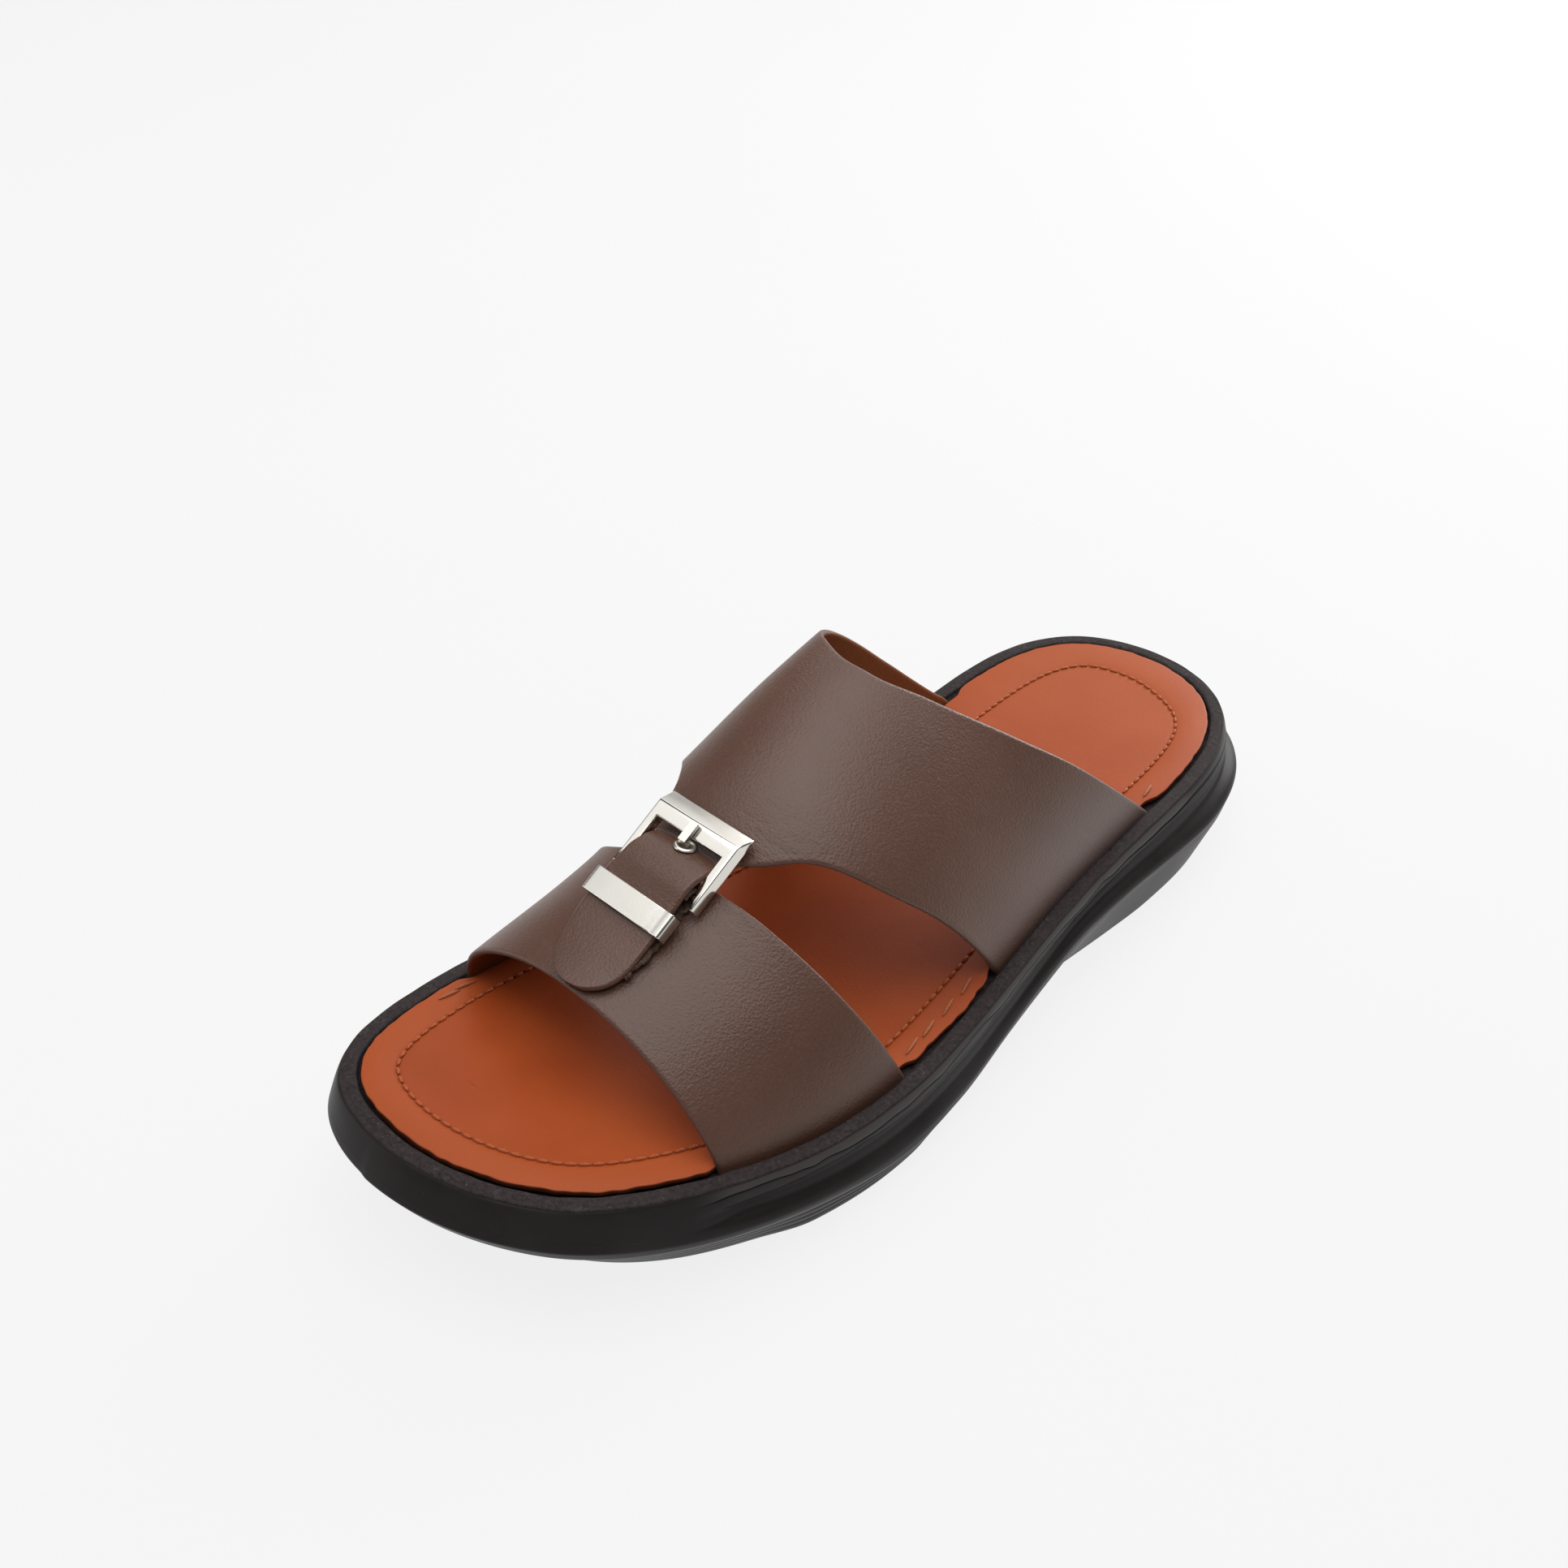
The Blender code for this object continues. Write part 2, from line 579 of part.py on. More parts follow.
def build_buckle_frame():
    """Nickel frame: two side bars, a bevelled rear bar and the thin pin that the loop holds."""
    half = FRAME_THICK / 2
    inside = [(-FRAME_HALF_INSIDE, FRAME_END), (-FRAME_HALF_INSIDE, BAR_INSIDE),
              (FRAME_HALF_INSIDE, BAR_INSIDE), (FRAME_HALF_INSIDE, FRAME_END)]
    crest = [(-FRAME_HALF_TOP, FRAME_END), (-FRAME_HALF_TOP, BAR_CREST),
             (FRAME_HALF_TOP, BAR_CREST), (FRAME_HALF_TOP, FRAME_END)]
    foot = [(-FRAME_HALF_FOOT, FRAME_END), (-FRAME_HALF_FOOT, BAR_FOOT),
            (FRAME_HALF_FOOT, BAR_FOOT), (FRAME_HALF_FOOT, FRAME_END)]
    bm = bmesh.new()
    lines = [[bm.verts.new(metres(buckle_point(x, along, up))) for x, along in corners]
             for corners, up in ((inside, half), (crest, half), (foot, -half), (inside, -half))]
    for left, right in zip(lines, lines[1:] + lines[:1]):
        for k in range(3):
            bm.faces.new((left[k], right[k], right[k + 1], left[k + 1]))
    for k in (0, 3):
        bm.faces.new([line[k] for line in lines])
    bmesh.ops.recalc_face_normals(bm, faces=bm.faces)
    frame = add_part("buckle_frame", bm, "nickel")
    bars = frame.modifiers.new("soft_edges", "BEVEL")
    bars.width = FRAME_EDGE * MM
    bars.segments = 2
    bars.limit_method = "ANGLE"
    bpy.ops.mesh.primitive_cylinder_add(
        vertices=16, radius=PIN_RADIUS * MM, depth=2 * (FRAME_HALF_INSIDE + PIN_OVERLAP) * MM,
        location=metres(buckle_point(0, 0, 0)), rotation=(0, math.pi / 2, 0))
    combine(frame, "pin", hide_tool("buckle_pin"), "UNION")
    return frame


def build_buckle_loop():
    """Leather loop on the front strap: folded round the buckle's pin, slotted there for the prong."""
    pin = pin_centre()
    turn_radius = PIN_RADIUS + CLEARANCE + LOOP_THICK / 2
    path = [(y, crest_height(y) + CLEARANCE + LOOP_THICK / 2) for y in np.linspace(LOOP_END_Y, PIN_Y - 2, 7)]
    path += [(pin[0] + turn_radius * math.sin(a), pin[1] - turn_radius * math.cos(a))
             for a in np.linspace(0.15, math.pi - 0.15, 8)]
    path += [(PIN_Y - 0.9, pin[1] + turn_radius), (LOOP_RETURN_Y, pin[1] + turn_radius - LOOP_RETURN_DROP)]
    runs = [[(BUCKLE_X + x, y, z) for y, z in path]
            for x in np.linspace(-LOOP_HALF_WIDTH, LOOP_HALF_WIDTH, 3)]
    loop = sheet("buckle_loop", runs, LOOP_THICK, "raw_leather", offset=0.0)
    bpy.ops.mesh.primitive_cube_add(size=1, location=metres((BUCKLE_X, PIN_Y + 1.2, pin[1])))
    slot = hide_tool("prong_slot_cutter")
    slot.scale = Vector(LOOP_SLOT) * MM
    combine(loop, "prong_slot", slot)
    return loop


def build_buckle_prong():
    """Prong: a ring round the pin, then a bar that rises through the eyelet and rests on the rear bar."""
    pin = pin_centre()
    radius = PIN_RADIUS + PRONG_PLAY + PRONG_THICK / 2
    path = [(pin[0] + radius * math.cos(a), pin[1] + radius * math.sin(a))
            for a in np.radians(np.linspace(*PRONG_RING, 9))]
    leather = tail_point(EYELET_Y, 0.0)[2]
    path += [(EYELET_Y + bend.along, leather + bend.up) for bend in PRONG_BENDS]
    resting = FRAME_THICK / 2 + CLEARANCE + PRONG_THICK / 2
    path += [buckle_point(0, along, resting)[1:] for along in (BAR_INSIDE - 1.6, BAR_INSIDE, BAR_CREST)]
    runs = [[(BUCKLE_X + x, y, z) for y, z in path] for x in (-PRONG_WIDTH / 2, PRONG_WIDTH / 2)]
    return sheet("buckle_prong", runs, PRONG_THICK, "nickel", offset=0.0)


def build_eyelet():
    """Turned eyelet in the tail: a rolled flange on the leather and a short barrel in the hole."""
    bm = bmesh.new()
    corners = [bm.verts.new((row.radius * MM, 0, row.height * MM)) for row in EYELET]
    edges = [bm.edges.new((a, b)) for a, b in zip(corners, corners[1:] + corners[:1])]
    bmesh.ops.spin(bm, geom=corners + edges, cent=(0, 0, 0), axis=(0, 0, 1), angle=2 * math.pi,
                   steps=24, use_merge=True, use_duplicate=False)
    bmesh.ops.remove_doubles(bm, verts=bm.verts, dist=1e-6)
    bmesh.ops.recalc_face_normals(bm, faces=bm.faces)
    eyelet = add_part("tail_eyelet", bm, "nickel")
    eyelet.location = Vector(metres(tail_point(EYELET_Y, 0.0)))
    eyelet.rotation_euler.x = tail_slope(EYELET_Y)
    return eyelet


def build_keeper():
    """Flat metal loop round the tail and over the end of the leather loop, with rounded corners."""
    upper = tail_point(KEEPER_Y, 0.0)[2] + KEEPER_PLAY + KEEPER_THICK / 2
    lower = upper - TAIL_THICK - 2 * KEEPER_PLAY - KEEPER_THICK
    middle, half_height = (upper + lower) / 2, (upper - lower) / 2
    half_width = KEEPER_HALF_WIDTH - KEEPER_THICK / 2
    corner = KEEPER_CORNER
    outline = []
    for k, (sx, sz) in enumerate(((1, 1), (-1, 1), (-1, -1), (1, -1))):
        centre = sx * (half_width - corner), sz * (half_height - corner)
        for step in range(4):
            angle = math.radians(90 * k + 30 * step)
            outline.append((centre[0] + corner * math.cos(angle), centre[1] + corner * math.sin(angle)))
    cos, sin = math.cos(KEEPER_SLOPE), math.sin(KEEPER_SLOPE)
    runs = []
    for x, up in outline:
        runs.append([(BUCKLE_X + x, KEEPER_Y + along * cos - up * sin, middle + along * sin + up * cos)
                     for along in (-KEEPER_LENGTH / 2, KEEPER_LENGTH / 2)])
    return sheet("tail_keeper", runs, KEEPER_THICK, "nickel", offset=0.0, closed=True)


for old in list(bpy.data.objects):
    bpy.data.objects.remove(old, do_unlink=True)
PARTS = collection(OBJECT_NAME)
CUTTERS = collection("cutters")
build_outsole()
build_welt()
build_insole()
build_front_strap()
build_rear_strap()
build_buckle_loop()
build_buckle_frame()
build_buckle_prong()
build_eyelet()
build_keeper()
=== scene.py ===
# %% [markdown]
# # A buckled leather slide
# A left sandal of the kind that is pulled on without a heel strap: a moulded black sole, a dark welt board,
# a tan leather insole and two brown straps that a nickel buckle joins over the foot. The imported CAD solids
# say where everything is. This lesson dresses them: every solid gets a finer piece with real edges, seams and
# thread, and a finish made of nodes.

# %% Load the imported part
import json
import math
from collections import namedtuple

import bmesh
import bpy
import numpy as np
from mathutils import Matrix, Vector

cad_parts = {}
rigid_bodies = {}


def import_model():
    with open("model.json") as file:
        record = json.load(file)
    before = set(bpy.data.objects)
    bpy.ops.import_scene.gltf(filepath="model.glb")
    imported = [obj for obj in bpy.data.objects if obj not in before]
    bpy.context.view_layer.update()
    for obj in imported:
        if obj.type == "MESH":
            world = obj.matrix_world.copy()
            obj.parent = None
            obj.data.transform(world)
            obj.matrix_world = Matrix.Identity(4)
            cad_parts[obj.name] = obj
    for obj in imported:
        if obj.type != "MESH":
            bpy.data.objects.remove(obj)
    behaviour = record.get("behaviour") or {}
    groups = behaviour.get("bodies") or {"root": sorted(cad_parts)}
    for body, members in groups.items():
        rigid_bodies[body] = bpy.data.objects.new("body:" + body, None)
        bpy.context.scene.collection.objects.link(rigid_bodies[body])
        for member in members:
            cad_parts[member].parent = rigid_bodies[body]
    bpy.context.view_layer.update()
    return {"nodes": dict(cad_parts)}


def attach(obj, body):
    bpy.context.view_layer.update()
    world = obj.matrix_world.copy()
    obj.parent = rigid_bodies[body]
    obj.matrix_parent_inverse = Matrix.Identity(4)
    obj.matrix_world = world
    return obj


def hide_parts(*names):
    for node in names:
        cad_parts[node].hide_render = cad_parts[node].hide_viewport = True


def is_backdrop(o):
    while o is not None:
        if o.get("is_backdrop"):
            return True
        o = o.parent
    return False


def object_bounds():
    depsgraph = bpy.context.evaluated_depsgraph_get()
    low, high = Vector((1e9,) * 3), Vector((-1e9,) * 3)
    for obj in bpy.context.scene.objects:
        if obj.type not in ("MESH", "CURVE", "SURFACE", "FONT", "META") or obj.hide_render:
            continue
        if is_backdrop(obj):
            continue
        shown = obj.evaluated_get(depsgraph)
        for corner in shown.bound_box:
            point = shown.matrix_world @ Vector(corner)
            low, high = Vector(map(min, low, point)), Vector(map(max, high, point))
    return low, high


for leftover in list(bpy.data.objects):
    bpy.data.objects.remove(leftover, do_unlink=True)
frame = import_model()
MM = 0.001
print("solids:", sorted(frame["nodes"]))

# %% [markdown]
# ## Camera
# A product photograph like this one is taken from above the toe, with a longish lens. The camera's place is
# worked out from its azimuth and elevation, as a turntable would be set, and the lens from the number of
# pixels that one radian covers. Working from angles keeps the view easy to compare with the photograph.

# %% Place the camera
AZIMUTH = math.radians(44.11)
ELEVATION = math.radians(36.85)
ROLL = math.radians(0.66)
CAMERA_DISTANCE = 500.77
PAN_RIGHT = -18.55
PAN_UP = 48.87
AIM = Vector((-4.885, -0.096, 0.0))
FOCAL_PIXELS = 2258.09
PICTURE_PIXELS = 1932
SENSOR_WIDTH = 36
NEAREST = 0.01

toward = Vector((math.sin(AZIMUTH) * math.cos(ELEVATION), -math.cos(AZIMUTH) * math.cos(ELEVATION),
                 math.sin(ELEVATION)))
level_right = Vector((0, 0, 1)).cross(toward).normalized()
level_up = toward.cross(level_right)
right = level_right * math.cos(ROLL) + level_up * math.sin(ROLL)
up = level_up * math.cos(ROLL) - level_right * math.sin(ROLL)
lens = bpy.data.cameras.new("camera")
lens.sensor_width = SENSOR_WIDTH
lens.lens = SENSOR_WIDTH * FOCAL_PIXELS / PICTURE_PIXELS
lens.clip_start = NEAREST
camera = bpy.data.objects.new("camera", lens)
stand = (AIM + toward * CAMERA_DISTANCE + right * PAN_RIGHT + up * PAN_UP) * MM
camera.matrix_world = Matrix.Translation(stand) @ Matrix((right, up, toward)).transposed().to_4x4()
bpy.context.scene.collection.objects.link(camera)
bpy.context.scene.camera = camera
print("camera stands at", [round(value, 3) for value in stand])

# %% [markdown]
# ## Writing a finish as arithmetic
# Shader nodes are quick to read as sums and hard to read as wires. `Wire` holds one socket and knows the
# arithmetic signs, so `1 - mask * 0.5` adds the Math nodes by itself. `Finish` owns one material and has one
# method that adds any other node: first its settings, then the values or wires of its sockets.


# %% Wires and finishes
class Wire:
    """A node's output that can be used in sums."""

    def __init__(self, finish, socket):
        self.finish = finish
        self.socket = socket

    def reckon(self, operation, *values):
        return self.finish.node("Math", {"operation": operation}, dict(enumerate(values)))

    def __add__(self, other):
        return self.reckon("ADD", self, other)

    def __sub__(self, other):
        return self.reckon("SUBTRACT", self, other)

    def __rsub__(self, other):
        return self.reckon("SUBTRACT", other, self)

    def __mul__(self, other):
        return self.reckon("MULTIPLY", self, other)

    __radd__ = __add__
    __rmul__ = __mul__

    def size(self):
        """Drop the sign."""
        return self.reckon("ABSOLUTE", self)

    def between(self, low, high):
        """Rise smoothly from 0 at low to 1 at high, or fall where low is the larger."""
        if low > high:
            return 1 - self.between(high, low)
        settings = {"interpolation_type": "SMOOTHSTEP"}
        return self.finish.node("MapRange", settings, {"Value": self, "From Min": low, "From Max": high})


class Finish:
    """One procedural material, written node by node."""

    def __init__(self, name, **constants):
        self.material = bpy.data.materials.new(name)
        self.material.use_nodes = True
        self.tree = self.material.node_tree
        self.shader = self.tree.nodes["Principled BSDF"]
        for socket, value in constants.items():
            self.shader.inputs[socket.replace("_", " ")].default_value = value
        self.place = self.node("TexCoord", output="Object")

    def node(self, kind, settings=None, sockets=None, output=0):
        made = self.tree.nodes.new("ShaderNode" + kind)
        for key, value in (settings or {}).items():
            if key == "stops":
                while len(made.color_ramp.elements) < len(value):
                    made.color_ramp.elements.new(0.5)
                for stop, (position, colour) in zip(made.color_ramp.elements, value):
                    stop.position = position
                    stop.color = (*colour, 1.0)
            else:
                setattr(made, key, value)
        for key, value in (sockets or {}).items():
            if isinstance(value, Wire):
                self.tree.links.new(value.socket, made.inputs[key])
            else:
                made.inputs[key].default_value = value
        return Wire(self, made.outputs[output])

    def stretched(self, scale, turn=(0.0, 0.0, 0.0)):
        return self.node("Mapping", sockets={"Vector": self.place, "Scale": scale, "Rotation": turn})

    def noise(self, scale, detail=3.0, rough=0.55, where=None):
        sockets = {"Vector": where or self.place, "Scale": scale, "Detail": detail, "Roughness": rough}
        return self.node("TexNoise", sockets=sockets)

    def cells(self, scale, where=None, **settings):
        return self.node("TexVoronoi", settings, {"Vector": where or self.place, "Scale": scale},
                         output="Distance")

    def ramp(self, value, *stops):
        return self.node("ValToRGB", {"stops": stops}, {"Fac": value}, output="Color")

    def blend(self, share, first, second):
        """Mix two colours; a colour is a wire or three numbers."""
        first, second = (value if isinstance(value, Wire) else (*value, 1.0) for value in (first, second))
        return self.node("MixRGB", {"blend_type": "MIX"}, {"Fac": share, "Color1": first, "Color2": second},
                         output="Color")

    def axes(self, vector):
        """Return a vector's three parts."""
        parts = self.node("SeparateXYZ", sockets={"Vector": vector}).socket.node
        return tuple(Wire(self, part) for part in parts.outputs)

    def chart(self):
        """Return the two directions of the piece's own UV map."""
        return self.axes(self.node("UVMap", {"uv_map": "run"}))[:2]

    def bump(self, height, strength, distance):
        return self.node("Bump", sockets={"Height": height, "Strength": strength, "Distance": distance * MM})

    def drive(self, **wires):
        """Send wires to the shader's own sockets."""
        for socket, wire in wires.items():
            self.tree.links.new(wire.socket, self.shader.inputs[socket.replace("_", " ")])
        return self.material


print("finish board ready")

# %% [markdown]
# ## Floor and light
# The photograph has a seamless pale ground and very soft light, as inside a light tent. A wide floor in near
# white that glows a little, like a photographer's light table, keeps the shadow under the shoe thin. Area
# lights do the rest: a wide soft box overhead, a low one behind the heel that puts a sheen on the straps, two
# weak ones over the inner side, and a weak low one beside the toe for the wall of the sole.

# %% Floor
FLOOR_HALF = 6.0
FLOOR_GLOW = 0.84
WHITE = (1.0, 1.0, 1.0, 1.0)
ground = Finish("light_table", Roughness=0.9, Emission_Color=WHITE, Emission_Strength=FLOOR_GLOW)
ground.drive(Base_Color=ground.ramp(ground.noise(3.0), (0.3, (0.048, 0.048, 0.048)),
                                    (0.7, (0.052, 0.052, 0.052))))
bm = bmesh.new()
bmesh.ops.create_grid(bm, x_segments=1, y_segments=1, size=FLOOR_HALF)
floor_mesh = bpy.data.meshes.new("floor")
bm.to_mesh(floor_mesh)
bm.free()
floor_mesh.materials.append(ground.material)
floor = bpy.data.objects.new("floor", floor_mesh)
bpy.context.scene.collection.objects.link(floor)
floor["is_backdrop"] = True
print("floor", 2 * FLOOR_HALF, "m wide")

# %% Lights
Lamp = namedtuple("Lamp", "name place size power")
LAMPS = (
    Lamp("overhead", (0.05, -0.02, 1.45), 1.7, 23.5),
    Lamp("behind_heel", (-0.12, 1.40, 0.46), 0.8, 14.0),
    Lamp("inner_toe", (-0.85, -0.55, 1.15), 0.7, 1.7),
    Lamp("inner_heel", (-0.82, 0.92, 0.90), 1.0, 3.8),
    Lamp("toe_side", (-0.95, -0.95, 0.30), 0.6, 2.0),
)
TENT_GLOW = 0.13
for lamp in LAMPS:
    light = bpy.data.lights.new(lamp.name, "AREA")
    light.size = lamp.size
    light.energy = lamp.power
    holder = bpy.data.objects.new(lamp.name, light)
    holder.location = lamp.place
    holder.rotation_euler = (-Vector(lamp.place)).to_track_quat("-Z", "Y").to_euler()
    bpy.context.scene.collection.objects.link(holder)
sky = bpy.data.worlds.new("tent")
bpy.context.scene.world = sky
sky.use_nodes = True
backdrop = sky.node_tree.nodes["Background"].inputs
backdrop["Color"].default_value = WHITE
backdrop["Strength"].default_value = TENT_GLOW
bpy.context.scene.view_settings.view_transform = "Standard"
print(len(LAMPS), "lamps")

# %% [markdown]
# ## Curves through measured points
# A shoe has no straight lines, so its shape is kept as short tables: heights and widths at a few stations
# from toe to heel. A cubic through each column gives the value anywhere between, without overshooting, and a
# closed spline through fourteen marks gives the outline of the welt seen from above.

# %% Tables of the sole
OUTLINE = ((0.0, 143.5), (22.8, 134.8), (39.2, 105.8), (47.7, 32.3), (58.2, -54.8), (43.4, -111.8),
           (27.5, -131.7), (-1.2, -143.5), (-34.4, -138.0), (-47.6, -109.3), (-47.4, -56.3),
           (-36.5, 20.0), (-40.3, 106.0), (-26.2, 136.2))
SOLE_COLUMNS = "y rim welt_out waist_out bulge_out bulge ridge_out ridge floor_in floor inner_share".split()
SOLE = (
    (-150, 34.4, 2.4, 3.2, 4.7, 25.2, 2.8, 22.0, 10.4, 12.0, 1.0),
    (-137, 33.1, 2.2, 2.9, 4.2, 24.0, 2.5, 20.5, 8.9, 9.2, 0.8),
    (-124, 31.6, 1.7, 2.1, 3.5, 21.5, 2.2, 18.2, 7.0, 6.5, 0.45),
    (-105, 29.3, 0.8, 0.2, 2.6, 17.0, 1.9, 14.5, 5.0, 3.3, 0.4),
    (-87, 27.3, 0.5, -0.3, 2.2, 14.0, 1.7, 12.0, 4.0, 1.2, 0.5),
    (-72, 26.0, 0.4, -0.3, 2.0, 12.2, 1.6, 10.3, 2.1, 0.0, 0.6),
    (-40, 25.3, 0.4, -0.3, 2.0, 9.6, 1.8, 7.2, 1.1, 0.0, 0.7),
    (-24, 26.1, 0.4, -0.3, 1.7, 9.8, 1.3, 7.2, 2.8, 0.5, 0.7),
    (0, 27.9, 0.4, -0.3, 1.5, 13.3, 0.9, 10.5, 7.0, 4.0, 0.7),
    (20, 29.7, 0.4, -0.3, 1.7, 16.6, 1.1, 13.3, 6.0, 5.5, 0.7),
    (40, 31.5, 0.4, -0.3, 2.2, 19.2, 1.6, 16.4, 3.8, 3.4, 0.7),
    (60, 32.8, 0.5, 0.0, 2.8, 19.4, 2.0, 16.8, 2.6, 1.1, 0.6),
    (78, 33.4, 0.7, 0.4, 3.6, 19.0, 2.6, 15.6, 1.6, 0.0, 0.6),
    (105, 33.6, 1.0, 1.0, 5.2, 18.5, 3.8, 12.8, 0.6, 0.0, 0.6),
    (128, 33.3, 1.1, 1.2, 5.6, 18.5, 4.2, 12.2, 0.8, 0.0, 0.8),
    (150, 33.0, 1.1, 1.2, 5.4, 18.5, 4.0, 12.2, 2.6, 0.0, 1.0),
)
print(len(OUTLINE), "marks and", len(SOLE), "stations")


# %% Curves
def smooth_column(rows, column):
    """Return a function of a table's first column: a monotone cubic through another column."""
    places = np.array([row[0] for row in rows], float)
    values = np.array([row[column] for row in rows], float)
    steps = np.diff(places)
    slopes = np.diff(values) / steps
    tangents = np.concatenate(([slopes[0]], np.zeros(len(rows) - 2), [slopes[-1]]))
    for i in range(1, len(rows) - 1):
        before, after = slopes[i - 1], slopes[i]
        if before * after > 0:
            near, far = 2 * steps[i] + steps[i - 1], steps[i] + 2 * steps[i - 1]
            tangents[i] = (near + far) / (near / before + far / after)

    def value(place):
        place = np.clip(np.asarray(place, float), places[0], places[-1])
        i = np.clip(np.searchsorted(places, place) - 1, 0, len(steps) - 1)
        t = (place - places[i]) / steps[i]
        ease = t * t * (3 - 2 * t)
        return (values[i] * (1 - ease) + values[i + 1] * ease
                + tangents[i] * steps[i] * t * (1 - t) ** 2 + tangents[i + 1] * steps[i] * t * t * (t - 1))

    return value


def columns(rows, names):
    """Return every column of a table but the first as a function, by name."""
    return {name: smooth_column(rows, k) for k, name in enumerate(names) if k}


def closed_spline(points, per_span=120):
    """Return a dense closed cubic spline through the points, with centripetal spacing."""
    count = len(points)
    spans = np.linalg.norm(np.roll(points, -1, axis=0) - points, axis=1) ** 0.5
    matrix = np.zeros((count, count))
    target = np.zeros_like(points)
    for i in range(count):
        before, after, following = spans[i - 1], spans[i], (i + 1) % count
        matrix[i, i - 1] = after
        matrix[i, i] = 2 * (before + after)
        matrix[i, following] = before
        target[i] = 3 * (after * (points[i] - points[i - 1]) / before
                         + before * (points[following] - points[i]) / after)
    slopes = np.linalg.solve(matrix, target)
    t = np.linspace(0, 1, per_span, endpoint=False)[:, None]
    pieces = []
    for i in range(count):
        following = (i + 1) % count
        pieces.append(points[i] * (1 + 2 * t) * (1 - t) ** 2
                      + slopes[i] * spans[i] * t * (1 - t) ** 2
                      + points[following] * t * t * (3 - 2 * t)
                      + slopes[following] * spans[i] * t * t * (t - 1))
    return np.vstack(pieces)


print("curve helpers ready")

# %% The rim, seen from above
ROUND = 480
HALF = ROUND // 2


def even_run(points, count):
    """Return count points at even lengths along a polyline, without its last point."""
    length = np.concatenate(([0], np.cumsum(np.linalg.norm(np.diff(points, axis=0), axis=1))))
    marks = np.linspace(0, length[-1], count + 1)[:-1]
    return np.stack([np.interp(marks, length, points[:, axis]) for axis in (0, 1)], axis=1)


edge_curve = closed_spline(np.array(OUTLINE))
toe = int(np.argmin(edge_curve[:, 1]))
RIM = np.vstack([even_run(edge_curve[:toe + 1], HALF),
                 even_run(np.vstack([edge_curve[toe:], edge_curve[:1]]), HALF)])
travel = np.roll(RIM, -1, axis=0) - np.roll(RIM, 1, axis=0)
travel /= np.linalg.norm(travel, axis=1)[:, None]
RIM_OUT = np.stack([-travel[:, 1], travel[:, 0]], axis=1)
RIM_Y = RIM[:, 1]
SOLE_AT = columns(SOLE, SOLE_COLUMNS)
SIDE = {name: column(RIM_Y) for name, column in SOLE_AT.items()}
inner_side = np.where(np.arange(ROUND) > HALF, SIDE["inner_share"], 1.0)
for name in ("welt_out", "waist_out", "bulge_out", "ridge_out"):
    SIDE[name] = SIDE[name] * inner_side
RIM_Z = SIDE["rim"]


def ring(out, height):
    """Return the rim moved outwards and set at a height; both may vary round it."""
    moved = RIM + RIM_OUT * np.broadcast_to(out, ROUND)[:, None]
    return np.column_stack([moved, np.broadcast_to(height, ROUND)])


def two_sides(closed):
    """Split a ring into its inner and its outer side, both from toe to heel."""
    return np.vstack([closed[HALF:], closed[:1]]), closed[:HALF + 1][::-1]


def spine(inner_ring):
    """Fold a ring onto the line halfway between its two sides, which closes a surface."""
    return (inner_ring + np.roll(inner_ring[::-1], 1, axis=0)) / 2


widest = ring(SIDE["bulge_out"], 0.0)
MIDDLE = np.array([*(widest.min(axis=0) + widest.max(axis=0))[:2] / 2, 0.0])
print("outline", np.round(np.ptp(RIM, axis=0), 1), "mm")

# %% [markdown]
# ## Rolling a flat grid into a shape
# Every soft or moulded piece here starts as a flat grid from `create_grid`. Its corners are read as two
# numbers from 0 to 1 and moved onto the surface, and the seam is welded where the grid meets itself. The
# same two numbers become the UV map, so a material can follow a seam or an edge.


# %% Grid, piece and wobble helpers
def roll_grid(bm, across, rows, place, chart):
    """Add a grid to a bmesh and move it onto place(u, w); chart(u, w) gives its UV map."""
    uv = bm.loops.layers.uv.verify()
    flat = bmesh.ops.create_grid(bm, x_segments=across, y_segments=rows, size=1)["verts"]
    u = np.array([(vert.co.x + 1) / 2 for vert in flat])
    w = np.array([(vert.co.y + 1) / 2 for vert in flat])
    spots = (place(u, w) - MIDDLE) * MM
    marks = np.column_stack(chart(u, w))
    for vert, spot, mark in zip(flat, spots, marks):
        vert.co = spot
        for loop in vert.link_loops:
            loop[uv].uv = mark


def add_piece(name, bm, finishes, slot, *nodes, sharp=None):
    """Turn a bmesh into a piece of the sandal that rides on the root body and stands for CAD nodes."""
    mesh = bpy.data.meshes.new(name)
    bm.to_mesh(mesh)
    bm.free()
    if mesh.uv_layers:
        mesh.uv_layers[0].name = "run"
    mesh.shade_smooth()
    if sharp:
        mesh.set_sharp_from_angle(angle=math.radians(sharp))
    for finish in finishes:
        mesh.materials.append(finish)
    piece = bpy.data.objects.new(name, mesh)
    bpy.context.scene.collection.objects.link(piece)
    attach(piece, "root")
    if nodes:
        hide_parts(*nodes)
    print(name, len(mesh.polygons), "faces")
    return piece


